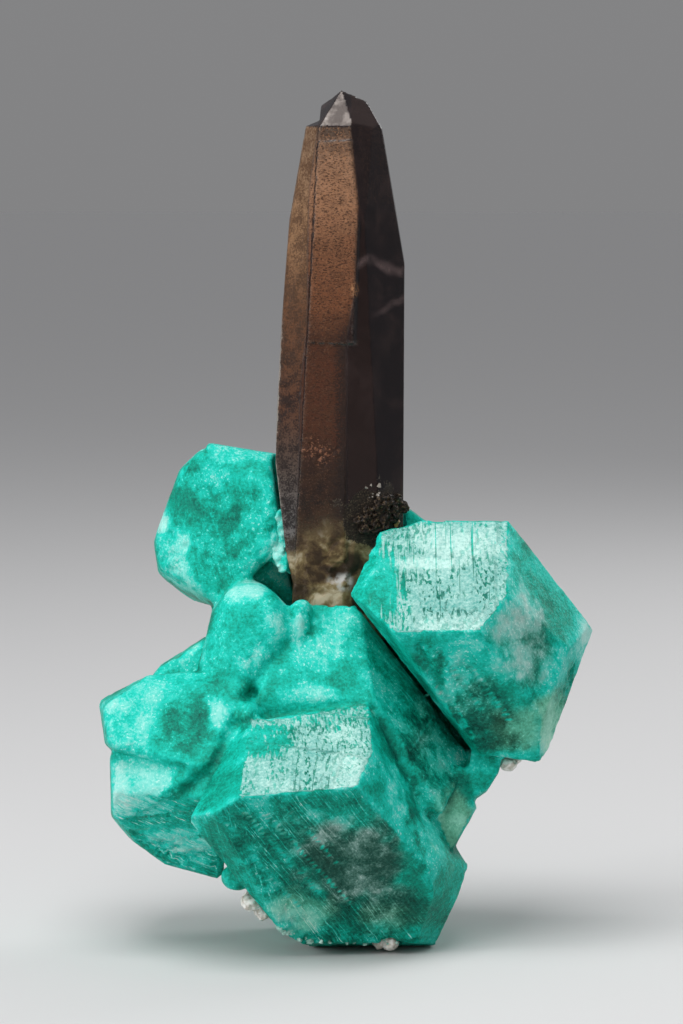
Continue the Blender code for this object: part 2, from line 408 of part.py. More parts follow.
def cut_off(solid, point, outward):
    """Cuts away what lies beyond a plane and closes the cut."""
    parts = solid.verts[:] + solid.edges[:] + solid.faces[:]
    bmesh.ops.bisect_plane(
        solid, geom=parts, dist=SAME_POINT, plane_co=point, plane_no=outward, clear_outer=True
    )
    rim = [edge for edge in solid.edges if edge.is_boundary]
    if rim:
        bmesh.ops.holes_fill(solid, edges=rim, sides=0)
    bmesh.ops.remove_doubles(solid, verts=solid.verts[:], dist=SAME_POINT)


def middle_of(faces):
    """A point well inside a crystal: the mean of the points that its faces are given by."""
    points = [Vector(point) * MM for face in faces.values() for point in face]
    return sum(points, Vector()) / len(points)


def face_plane(points, middle):
    """One point of a face and its outward direction, from three points in millimetres."""
    first, second, third = (Vector(point) * MM for point in points)
    outward = (second - first).cross(third - first).normalized()
    if outward.dot(middle - first) > 0:
        outward.negate()
    return first, outward


def rounded_planes(solid, radius):
    """Planes that touch a ball of this radius rolled along every edge and into every corner."""
    solid.normal_update()
    planes = []
    for edge in solid.edges:
        sides = [face.normal for face in edge.link_faces]
        outward = (sides[0] + sides[1]).normalized()
        bend = outward.angle(sides[0])
        if bend > LEAST_BEND:
            middle = (edge.verts[0].co + edge.verts[1].co) / 2
            depth = radius * (1 / math.cos(bend) - 1)
            planes.append((middle - outward * depth, outward))
    for corner in solid.verts:
        sides = [face.normal for face in corner.link_faces]
        outward = sum(sides, Vector()).normalized()
        bend = sum(outward.angle(side) for side in sides) / len(sides)
        if bend > 2 * LEAST_BEND:
            depth = radius * (1 / math.cos(bend) - 1)
            planes.append((corner.co - outward * depth, outward))
    return planes


def crystal(faces, edge=CRISP_EDGE, rounds=1, grown=0.0):
    """A block cut by each face of a table, its edges then rounded. Grown moves every face outward."""
    middle = middle_of(faces)
    solid = bmesh.new()
    bmesh.ops.create_cube(solid, size=BLOCK_SIDE)
    for points in faces.values():
        point, outward = face_plane(points, middle)
        cut_off(solid, point + outward * grown, outward)
    for _ in range(rounds):
        for point, outward in rounded_planes(solid, edge):
            cut_off(solid, point, outward)
    return solid


def lump(middle, radii, lean=0.0, seed=1, bumps=LUMP_UNEVEN):
    """A small rounded body, gently uneven."""
    chance = random.Random(seed)
    solid = bmesh.new()
    bmesh.ops.create_icosphere(solid, subdivisions=2, radius=1.0)
    for vert in solid.verts:
        vert.co *= 1 + chance.uniform(-bumps, bumps)
    turn = Matrix.Rotation(math.radians(lean), 4, "Y")
    size = Matrix.Diagonal((*(radius * MM for radius in radii), 1.0))
    place = Matrix.Translation(Vector(middle) * MM)
    bmesh.ops.transform(solid, matrix=place @ turn @ size, verts=solid.verts[:])
    return solid


def chip(middle, size, seed):
    """A rough little block to break out of an edge."""
    chance = random.Random(seed)
    solid = bmesh.new()
    bmesh.ops.create_icosphere(solid, subdivisions=1, radius=size * MM)
    for vert in solid.verts:
        vert.co *= chance.uniform(*CHIP_UNEVEN)
    bmesh.ops.translate(solid, vec=Vector(middle) * MM, verts=solid.verts[:])
    return solid


def front_points(solid, start, end):
    """Where two points, given as (right, up) in millimetres, meet a solid seen from the front."""
    tree = BVHTree.FromBMesh(solid)
    ahead = Vector((0, 1, 0))
    hits = []
    for right, up in (start, end):
        spot, _, _, _ = tree.ray_cast(Vector((right * MM, -BLOCK_SIDE, up * MM)), ahead)
        hits.append(spot)
    return hits


def groove(surface, start, end, width):
    """A slim six-sided rod lying half sunk in a surface, between two points seen from the front."""
    first, last = front_points(surface, start, end)
    along = last - first
    solid = bmesh.new()
    radius = width * MM / 2
    bmesh.ops.create_cone(
        solid, segments=6, radius1=radius, radius2=radius * GROOVE_TAPER, depth=along.length, cap_ends=True
    )
    turn = along.to_track_quat("Z", "Y").to_matrix().to_4x4()
    place = Matrix.Translation((first + last) / 2)
    bmesh.ops.transform(solid, matrix=place @ turn, verts=solid.verts[:])
    return solid


def corner_block(right, up, reach=12.0, back=14.0):
    """A block whose lower right edge runs front to back through a point seen from the front."""
    solid = bmesh.new()
    bmesh.ops.create_cube(solid, size=1.0)
    size = Matrix.Diagonal((reach * MM, 2 * back * MM, reach * MM, 1.0))
    place = Matrix.Translation(Vector((right - reach / 2, 0.0, up + reach / 2)) * MM)
    bmesh.ops.transform(solid, matrix=place @ size, verts=solid.verts[:])
    return solid


def joined(name, parts, cutters, material):
    """One object: the first part with the others added, and the cutters then taken away."""
    body = add_object(name, parts[0], material)
    for kind, shapes in (("UNION", parts[1:]), ("DIFFERENCE", cutters)):
        if not shapes:
            continue
        group = bpy.data.collections.new(f"{name}_{kind.lower()}")
        bpy.context.scene.collection.children.link(group)
        for count, shape in enumerate(shapes):
            guide = add_object(f"{name}_{kind.lower()}_{count:02d}", shape, material, guide=True)
            bpy.context.scene.collection.objects.unlink(guide)
            group.objects.link(guide)
        step = body.modifiers.new(kind.title(), "BOOLEAN")
        step.operation = kind
        step.solver = "EXACT"
        step.operand_type = "COLLECTION"
        step.collection = group
    return body


def shifted(faces, name, distance):
    """A copy of a face table with one face moved inward."""
    outward = face_plane(faces[name], middle_of(faces))[1]
    move = outward * (distance / MM)
    changed = dict(faces)
    changed[name] = tuple(tuple(Vector(point) - move) for point in faces[name])
    return changed


def quartz_parts(grown=0.0):
    """The tall prism, the narrower one grown along its left side and the plate on its front face."""
    return [
        crystal(QUARTZ_PRISM, QUARTZ_EDGE, grown=grown),
        crystal(QUARTZ_SIDE_PRISM, QUARTZ_EDGE, grown=grown),
        crystal(QUARTZ_PLATE, QUARTZ_EDGE, grown=grown),
    ]


def centre_parts():
    """The centre crystal, whose dark right face steps down along a cleavage line."""
    upper = {**CENTRE_CRYSTAL, "cleavage": CLEAVAGE_LINE}
    lower = shifted(CENTRE_CRYSTAL, "right", CLEAVAGE_STEP)
    return [crystal(upper), crystal(lower, grown=-LEDGE_INSET)]


def left_low_parts():
    """The left low crystal: an upper block that stands proud of the ridged slope below it."""
    block = {**LEFT_LOW_CRYSTAL, **BLOCK_LEDGE}
    slope = shifted(LEFT_LOW_CRYSTAL, "front", RECESS_DEPTH)
    slope = shifted(slope, "lower", LOW_RECESS_DEPTH)
    return [crystal(block, WORN_EDGE), crystal(slope, WORN_EDGE, grown=-LEDGE_INSET)]


def amazonite_parts():
    """Every amazonite crystal of the specimen, which all grew into one another."""
    front = crystal(FRONT_CRYSTAL)
    right = crystal(RIGHT_CRYSTAL)
    parts = [front, right, *centre_parts(), *left_low_parts()]
    parts.append(crystal(UPPER_LEFT_CRYSTAL, SOFT_EDGE))
    parts.append(crystal(LEFT_TOP_CRYSTAL, WORN_EDGE))
    parts.append(crystal(KNOB, ROUNDED_EDGE, rounds=2))
    parts.append(crystal(BEHIND_KNOB_CRYSTAL, WORN_EDGE))
    parts.append(crystal(SMALL_RIGHT_CRYSTAL))
    parts.append(crystal(PALE_RIGHT_CRYSTAL))
    parts.append(crystal(BACK_UPPER_CRYSTAL))
    parts.append(crystal(BACK_SHOULDER_CRYSTAL, WORN_EDGE))
    parts.append(crystal(BACK_MIDDLE_CRYSTAL))
    parts.append(crystal(BACK_LEFT_CRYSTAL))
    parts.append(crystal(BACK_LOW_CRYSTAL))
    for seed, (middle, radii, lean) in enumerate(LUMPS.values()):
        parts.append(lump(middle, radii, lean, seed))
    return parts


def amazonite_cutters():
    """Ledges, grooves and chips, and room for the quartz and the albite."""
    cutters = [corner_block(*corner) for corner in LEDGE_CORNERS]
    right = crystal(RIGHT_CRYSTAL)
    cutters += [groove(right, *ends) for ends in RIGHT_GROOVES]
    right.free()
    front = crystal(FRONT_CRYSTAL)
    cutters += [groove(front, *ends) for ends in FRONT_GROOVES]
    front.free()
    slope = left_low_parts()[1]
    cutters += [groove(slope, *ends) for ends in SLOPE_GROOVES]
    slope.free()
    cutters += [chip(middle, size, seed) for seed, (middle, size) in enumerate(CHIPS)]
    cutters += quartz_parts(grown=SEAM_GAP)
    room = SEAM_GAP / MM
    for lumps in ALBITE.values():
        for seed, (middle, radii) in enumerate(lumps):
            cutters.append(lump(middle, [radius + room for radius in radii], seed=seed, bumps=0.0))
    return cutters


def amazonite_cluster():
    """The amazonite crystals as the one solid that they grew into."""
    material = finish_of("amazonite", (0.03, 0.52, 0.42), 0.42)
    return joined("amazonite_cluster", amazonite_parts(), amazonite_cutters(), material)


def smoky_quartz():
    """The smoky quartz, a tapered prism with a side growth and a six-sided point."""
    material = finish_of("smoky_quartz", (0.12, 0.06, 0.04), 0.2)
    scoops = [lump(middle, radii, seed=seed) for seed, (middle, radii) in enumerate(FRACTURE_SCOOPS)]
    return joined("smoky_quartz", quartz_parts(), scoops, material)


def albite(name, lumps):
    """Small white lumps of albite fused together."""
    material = finish_of(name, (0.8, 0.77, 0.7), 0.6)
    parts = [lump(middle, radii, seed=seed, bumps=0.0) for seed, (middle, radii) in enumerate(lumps)]
    return joined(name, parts, [], material)


def dark_crust():
    """The black-brown crust of small grains on the quartz's right face."""
    material = finish_of("dark_crust", (0.03, 0.022, 0.018), 0.7)
    chance = random.Random(7)
    prism = crystal(QUARTZ_PRISM, QUARTZ_EDGE, grown=SEAM_GAP)
    grains = []
    for row, (start, end) in enumerate(CRUST_ROWS):
        up = CRUST_LOW + row * CRUST_PITCH
        for column in range(round((end - start) / CRUST_PITCH) + 1):
            right = start + column * CRUST_PITCH
            spot = front_points(prism, (right, up), (right, up))[0]
            size = chance.uniform(*CRUST_GRAIN)
            grains.append(chip(spot / MM + Vector((0, CRUST_SINK, 0)), size, len(grains)))
    neighbour = crystal(RIGHT_CRYSTAL, grown=SEAM_GAP)
    return joined("dark_crust", grains, [prism, neighbour], material)


empty_scene()
amazonite_cluster()
smoky_quartz()
for part_name, part_lumps in ALBITE.items():
    albite(part_name, part_lumps)
dark_crust()
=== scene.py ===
"""A rough amazonite specimen: blocky blue-green crystals grown around a smoky quartz prism."""

import math
import random

import bmesh
import bpy
import numpy as np
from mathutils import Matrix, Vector, noise
from mathutils.bvhtree import BVHTree
from mathutils.kdtree import KDTree


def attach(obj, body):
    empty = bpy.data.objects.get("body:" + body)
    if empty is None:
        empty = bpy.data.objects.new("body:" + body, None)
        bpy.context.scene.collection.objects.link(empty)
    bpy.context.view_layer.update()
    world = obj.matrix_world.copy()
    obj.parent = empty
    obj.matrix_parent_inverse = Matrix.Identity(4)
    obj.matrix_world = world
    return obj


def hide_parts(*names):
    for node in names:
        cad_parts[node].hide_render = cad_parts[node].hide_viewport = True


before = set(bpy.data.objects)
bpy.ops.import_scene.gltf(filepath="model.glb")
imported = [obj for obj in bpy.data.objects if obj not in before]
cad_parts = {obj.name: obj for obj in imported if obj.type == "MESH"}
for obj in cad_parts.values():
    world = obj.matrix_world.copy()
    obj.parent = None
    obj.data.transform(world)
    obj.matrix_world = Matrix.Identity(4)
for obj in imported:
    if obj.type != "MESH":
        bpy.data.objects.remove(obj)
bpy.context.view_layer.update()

# The amazonite: blocks of blue-green feldspar that grew into one another as one mass. The stone is
# etched and striated, frosted pale on the faces that look up, with a painted glow where its edges are thin.
MM = 0.001

# In millimetres: the mesh's grain, how near two points are taken as one, the spacing of points set
# along edges, how far off a face's plane its points may lie, and how far edges are looked for.
STONE_GRAIN = 0.465
SAME_POINT = 0.002
EDGE_STEP = 0.35
FACE_DEPTH = 0.5
EDGE_REACH = 6.0
LEAST_EDGE_BEND = math.radians(24)


def stone_copy(node, name, grain):
    """A closed copy of a CAD node, meshed evenly at a grain size in millimetres, its faces kept flat."""
    bpy.ops.object.select_all(action="DESELECT")
    piece = bpy.data.objects.new(name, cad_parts[node].data.copy())
    bpy.context.scene.collection.objects.link(piece)
    bpy.context.view_layer.objects.active = piece
    piece.select_set(True)
    piece.data.materials.clear()
    bpy.ops.object.mode_set(mode="EDIT")
    bpy.ops.mesh.select_all(action="SELECT")
    bpy.ops.mesh.remove_doubles(threshold=SAME_POINT * MM)
    bpy.ops.object.mode_set(mode="OBJECT")
    even = piece.modifiers.new("Even", "REMESH")
    even.mode = "VOXEL"
    even.voxel_size = grain * MM
    bpy.ops.object.modifier_apply(modifier=even.name)
    flat = piece.modifiers.new("Flat", "SHRINKWRAP")
    flat.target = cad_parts[node]
    flat.wrap_method = "NEAREST_SURFACEPOINT"
    bpy.ops.object.modifier_apply(modifier=flat.name)
    bpy.ops.object.shade_smooth()
    return piece


def merged_shape(node):
    """The CAD node's own faces, merged, as a bmesh to measure from."""
    shape = bmesh.new()
    shape.from_mesh(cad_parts[node].data)
    bmesh.ops.remove_doubles(shape, verts=shape.verts[:], dist=SAME_POINT * MM)
    shape.normal_update()
    return shape


def points_of(piece):
    """The piece's vertices in millimetres."""
    flat = np.zeros(len(piece.data.vertices) * 3)
    piece.data.vertices.foreach_get("co", flat)
    return flat.reshape(-1, 3) / MM


def normals_of(piece):
    """The direction each vertex of the piece faces."""
    flat = np.zeros(len(piece.data.vertices) * 3)
    piece.data.vertex_normals.foreach_get("vector", flat)
    return flat.reshape(-1, 3)


def wear(piece, spots, depth):
    """Moves each vertex inward by its own depth in millimetres."""
    worn = (spots - normals_of(piece) * depth[:, None]) * MM
    piece.data.vertices.foreach_set("co", worn.astype(np.float32).ravel())
    piece.data.update()


def ease(values, low, high):
    """0 at low, 1 at high, smooth between. High may be under low."""
    share = np.clip((np.asarray(values, float) - low) / (high - low), 0, 1)
    return share * share * (3 - 2 * share)


def around(points, middle, reach):
    """How far each point is from a middle, as a share of a reach along x, y and z."""
    return np.linalg.norm((points - np.array(middle)) / np.array(reach), axis=1)


def edge_distance(shape, points, outward, reach):
    """How far each point is from the nearest outward, or else inward, edge of a shape, up to reach."""
    found = []
    for edge in shape.edges:
        if len(edge.link_faces) != 2 or edge.calc_face_angle(0.0) < LEAST_EDGE_BEND:
            continue
        if edge.is_convex == outward:
            first, last = (vert.co for vert in edge.verts)
            steps = max(1, round((last - first).length / (EDGE_STEP * MM)))
            found += [first.lerp(last, step / steps) for step in range(steps + 1)]
    tree = KDTree(len(found))
    for count, place in enumerate(found):
        tree.insert(place, count)
    tree.balance()
    return np.array([min(reach, tree.find(Vector(point) * MM)[2] / MM) for point in points])


def faces_nearest(shape, points):
    """For each point, the direction of the shape's face that it lies on."""
    tree = BVHTree.FromBMesh(shape)
    return np.array([tree.find_nearest(Vector(point) * MM)[1] for point in points])


def on_face(facing, points, seed, least_match=0.9985):
    """Which points lie on the flat face through a seed point, and the way that the face looks."""
    nearest = np.argmin(np.linalg.norm(points - seed, axis=1))
    outward = facing[nearest]
    level = (points - points[nearest]) @ outward
    return (facing @ outward > least_match) & (np.abs(level) < FACE_DEPTH), outward


def rough(points, size, seed=0.0):
    """Noise of about this grain size in millimetres, between about -1 and 1, at each point."""
    return np.array([noise.noise(Vector(point) / size + Vector((seed, seed, seed))) for point in points])


def billowy(points, size, seed=0.0):
    """Cloud-like noise with finer and finer grain, between about -1 and 1, at each point."""
    shift = Vector((seed, seed, seed))
    return np.array([noise.fractal(Vector(point) / size + shift, 0.75, 2.1, 5) for point in points])


def set_mask(piece, name, values):
    """Stores one number for each vertex, for the material to read."""
    layer = piece.data.attributes.new(name, "FLOAT", "POINT")
    layer.data.foreach_set("value", np.asarray(values, np.float32))


stone = stone_copy("amazonite_cluster", "amazonite", STONE_GRAIN)

# Crystals whose edges are worn round: middle, reach along x, y and z in millimetres, and strength.
ROUNDED = [
    ((-16.0, -4.0, 43.5), (9.0, 13.0, 9.5), 1.0),
    ((-8.6, -6.8, 45.6), (3.2, 4.6, 5.6), 0.8),
    ((-19.5, 6.0, 58.0), (14.0, 16.0, 14.0), 0.9),
    ((-11.2, 1.0, 54.0), (2.6, 4.0, 4.0), 0.6),
    ((-14.6, -12.0, 35.5), (7.5, 7.0, 6.5), 0.8),
    ((-33.0, -9.0, 26.0), (6.5, 12.0, 14.0), 0.6),
    ((-24.0, -8.0, 26.5), (10.0, 9.0, 4.5), 0.5),
    ((-17.6, -13.2, 10.8), (4.0, 5.0, 4.0), 0.8),
    ((14.0, -7.0, 19.0), (5.0, 7.0, 8.0), 0.6),
]
shape = merged_shape("amazonite_cluster")
spots = points_of(stone)
facing = faces_nearest(shape, spots)
to_edge = edge_distance(shape, spots, True, EDGE_REACH)
to_crevice = edge_distance(shape, spots, False, EDGE_REACH)
shape.free()
softness = np.zeros(len(spots))
for middle, reach, strength in ROUNDED:
    softness = np.maximum(softness, strength * ease(around(spots, middle, reach), 1.0, 0.75))
softness *= ease(to_crevice, 0.3, 2.2)
SOFTNESS_STEPS = 10
ROUNDING_PASSES = 44
worn_round = stone.vertex_groups.new(name="worn_round")
for step in range(1, SOFTNESS_STEPS + 1):
    members = np.flatnonzero(np.round(softness * SOFTNESS_STEPS) == step)
    worn_round.add(members.tolist(), step / SOFTNESS_STEPS, "REPLACE")
soften = stone.modifiers.new("Soften", "SMOOTH")
soften.vertex_group = worn_round.name
soften.factor = 0.5
soften.iterations = ROUNDING_PASSES
bpy.context.view_layer.objects.active = stone
bpy.ops.object.modifier_apply(modifier=soften.name)
spots = points_of(stone)

# Each worked face: a point on it, the direction its striations run seen from the front as (right, up),
# how frosted and how streaked it is, and how deep its striations are in millimetres.
WORKED_FACES = {
    "right_pale": ((12.0, -13.4, 49.6), (0.0, -1.0), 1.0, 0.0, 0.12),
    "front_pale": ((-4.3, -23.8, 27.5), (-0.12, -1.0), 1.0, 0.0, 0.12),
    "front_lower": ((-0.9, -20.3, 14.6), (0.58, -0.81), 0.0, 1.25, 0.10),
    "front_left": ((-17.9, -23.9, 17.9), (0.30, -0.95), 0.0, 0.6, 0.10),
    "front_right": ((8.8, -16.4, 18.1), (0.64, -0.77), 0.0, 0.35, 0.08),
    "right_lower": ((16.4, -11.3, 34.1), (0.50, -0.87), 0.0, 0.7, 0.12),
    "right_big": ((24.1, -10.5, 43.7), (0.42, -0.91), 0.0, 0.25, 0.08),
    "right_rim": ((28.4, -6.4, 43.2), (0.42, -0.91), 0.0, 0.2, 0.06),
    "centre_front": ((-5.7, -10.6, 39.5), (0.2, -1.0), 0.0, 0.1, 0.04),
    "centre_dark": ((8.2, -9.2, 31.0), (0.64, -0.77), 0.0, 0.5, 0.10),
    "left_slope": ((-25.2, -9.8, 14.2), (0.93, -0.37), 0.0, 1.5, 0.26),
    "left_top": ((-23.6, -14.0, 33.7), (0.2, -0.98), 0.0, 0.15, 0.06),
    "upper_left": ((-20.6, 1.2, 59.4), (0.30, -0.95), 0.0, 0.35, 0.08),
}

# Round each worked face, the marks in the stone run along its striations: how far off the face and how
# far along it, in millimetres.
LAY_DEPTH = 1.2
LAY_REACH = 26
lay = spots.copy()
frost = np.zeros(len(spots))
streak = np.zeros(len(spots))
furrow = np.zeros(len(spots))
for seed, (right, up), pale, lined, depth in WORKED_FACES.values():
    member, outward = on_face(facing, spots, np.array(seed))
    along = np.array((right, -(outward[0] * right + outward[2] * up) / outward[1], up))
    along /= np.linalg.norm(along)
    across = np.cross(outward, along)
    close = (np.abs((spots - seed) @ outward) < LAY_DEPTH) & (facing @ outward > 0.6)
    close &= np.linalg.norm(spots - seed, axis=1) < LAY_REACH
    lay[close] = np.stack([spots[close] @ along, spots[close] @ across, spots[close] @ outward], axis=1)
    frost[member] = pale
    streak[member] = lined
    furrow[member] = depth

# Where a frosted face loses its frost, and a striated one its lines: mask, middle, reach and amount.
BARE_SPOTS = [
    (frost, (1.0, -11.0, 50.0), (5.6, 9.0, 12.0), 0.85),
    (frost, (6.4, -9.0, 54.0), (3.0, 9.0, 7.0), 0.35),
    (frost, (10.0, -14.0, 46.0), (8.0, 6.0, 3.0), 0.12),
    (frost, (-13.4, -20.0, 31.8), (7.0, 6.0, 3.8), 0.75),
    (frost, (-4.0, -16.0, 34.6), (9.0, 6.0, 4.4), 0.5),
    (frost, (-17.4, -25.0, 27.0), (1.8, 6.0, 6.0), 0.7),
    (streak, (1.5, -20.0, 13.6), (9.4, 8.0, 6.6), 0.85),
    (streak, (8.0, -18.0, 8.0), (8.0, 8.0, 7.0), 0.6),
]
for lost, middle, reach, amount in BARE_SPOTS:
    lost *= 1 - amount * ease(around(spots, middle, reach), 1.15, 0.45)

# How light the stone is, from 0 for black-green to 1 for white: tone, middle, and reach right and up.
TONES = [
    (0.50, (-20.6, 1.2, 59.4), (9.0, 11.0)),
    (0.44, (-19.6, 1.2, 57.6), (5.0, 6.0)),
    (0.46, (-13.4, 0.8, 60.0), (2.4, 5.0)),
    (0.82, (-26.6, 3.2, 52.5), (2.8, 6.0)),
    (0.76, (-28.6, 6.1, 58.5), (1.6, 5.0)),
    (0.76, (-25.0, 3.0, 50.0), (5.4, 2.0)),
    (0.80, (-17.0, 3.0, 68.9), (9.0, 1.9)),
    (0.60, (-16.0, 1.0, 65.4), (7.0, 1.6)),
    (0.60, (-12.0, 3.4, 49.6), (4.0, 3.2)),
    (0.88, (-11.1, -0.9, 54.2), (2.4, 4.6)),
    (0.72, (-10.6, 1.0, 60.0), (1.4, 9.0)),
    (0.63, (-17.5, -9.5, 44.6), (7.0, 7.0)),
    (0.80, (-17.4, -6.0, 50.6), (5.4, 1.6)),
    (0.78, (-10.4, -8.6, 46.0), (2.4, 3.6)),
    (0.60, (-5.7, -10.6, 39.5), (9.0, 7.6)),
    (0.70, (-7.0, -11.0, 35.6), (7.0, 1.6)),
    (0.74, (-3.6, -7.0, 46.4), (7.0, 2.0)),
    (0.60, (3.0, -11.0, 50.6), (5.0, 8.0)),
    (0.42, (13.0, -13.0, 49.6), (8.0, 12.0)),
    (0.72, (25.0, -4.6, 51.8), (5.0, 4.0)),
    (0.64, (28.6, -6.4, 43.2), (3.4, 7.0)),
    (0.52, (23.0, -10.5, 45.0), (6.0, 9.0)),
    (0.44, (23.8, -10.5, 42.4), (3.0, 6.0)),
    (0.29, (16.8, -11.3, 34.1), (5.4, 6.0)),
    (0.48, (20.6, -11.0, 38.6), (2.0, 5.0)),
    (0.45, (12.4, -12.0, 41.4), (3.6, 3.4)),
    (0.32, (19.6, -8.0, 29.4), (4.6, 2.0)),
    (0.86, (31.4, 0.4, 40.3), (2.0, 5.0)),
    (0.84, (27.0, -6.0, 29.8), (2.6, 4.0)),
    (0.62, (23.0, -8.6, 35.0), (2.6, 5.0)),
    (0.60, (-14.0, -23.0, 29.0), (6.0, 8.0)),
    (0.44, (-4.0, -24.0, 27.6), (8.0, 7.0)),
    (0.46, (-3.0, -20.3, 13.0), (16.0, 14.0)),
    (0.36, (0.4, -20.3, 15.0), (7.0, 6.6)),
    (0.50, (-11.8, -24.1, 19.0), (5.4, 5.4)),
    (0.58, (-15.8, -27.0, 23.6), (3.0, 1.6)),
    (0.50, (-17.9, -23.9, 17.9), (3.6, 6.0)),
    (0.56, (-4.0, -22.0, 21.4), (9.0, 1.2)),
    (0.42, (8.8, -16.4, 18.1), (4.6, 9.0)),
    (0.62, (4.6, -18.0, 25.0), (2.6, 5.0)),
    (0.54, (12.6, -12.0, 13.0), (2.4, 4.0)),
    (0.62, (-8.5, -17.2, 6.4), (6.0, 3.4)),
    (0.38, (-2.4, -17.0, 5.6), (3.6, 3.0)),
    (0.34, (5.3, -15.2, 6.7), (6.0, 4.4)),
    (0.60, (13.8, -9.0, 8.8), (1.8, 4.0)),
    (0.34, (9.0, -9.2, 29.6), (6.4, 8.0)),
    (0.74, (-11.8, -8.4, 43.0), (1.8, 4.6)),
    (0.50, (5.0, -8.1, 37.0), (2.6, 4.4)),
    (0.77, (-33.3, -12.8, 33.0), (5.0, 6.0)),
    (0.72, (-28.0, -13.6, 37.0), (5.0, 2.6)),
    (0.43, (-23.4, -14.0, 33.4), (5.0, 4.2)),
    (0.62, (-22.4, -10.4, 38.1), (9.0, 1.8)),
    (0.68, (-17.6, -13.0, 33.6), (1.6, 3.4)),
    (0.44, (-19.5, -14.0, 28.4), (3.6, 2.4)),
    (0.93, (-33.6, -14.7, 22.4), (2.8, 5.6)),
    (0.80, (-29.0, -16.1, 25.4), (3.4, 2.6)),
    (0.62, (-25.2, -9.8, 14.2), (8.0, 5.0)),
    (0.42, (-19.0, -12.0, 20.0), (3.4, 5.0)),
    (0.64, (13.1, -8.8, 17.6), (3.4, 5.0)),
    (0.56, (16.5, -6.0, 22.5), (2.8, 2.8)),
]
broad = 0.34 * billowy(spots, 3.6, 11.0)
# Painted glow of light through the thin stone: the tone rises within 4 mm of an outer edge.
tone = 0.50 + 0.14 * ease(to_edge, 4.0, 0.0) + 0.4 * broad
for level, middle, (wide, high) in TONES:
    outward = facing[np.argmin(np.linalg.norm(spots - middle, axis=1))]
    apart = np.hypot((spots[:, 0] - middle[0]) / wide, (spots[:, 2] - middle[2]) / high)
    amount = ease(apart + broad, 1.25, 0.45) * ease(np.abs(spots[:, 1] - middle[1]), 9.0, 6.0)
    amount *= ease(facing @ outward, 0.55, 0.85)
    tone += amount * (level - tone)

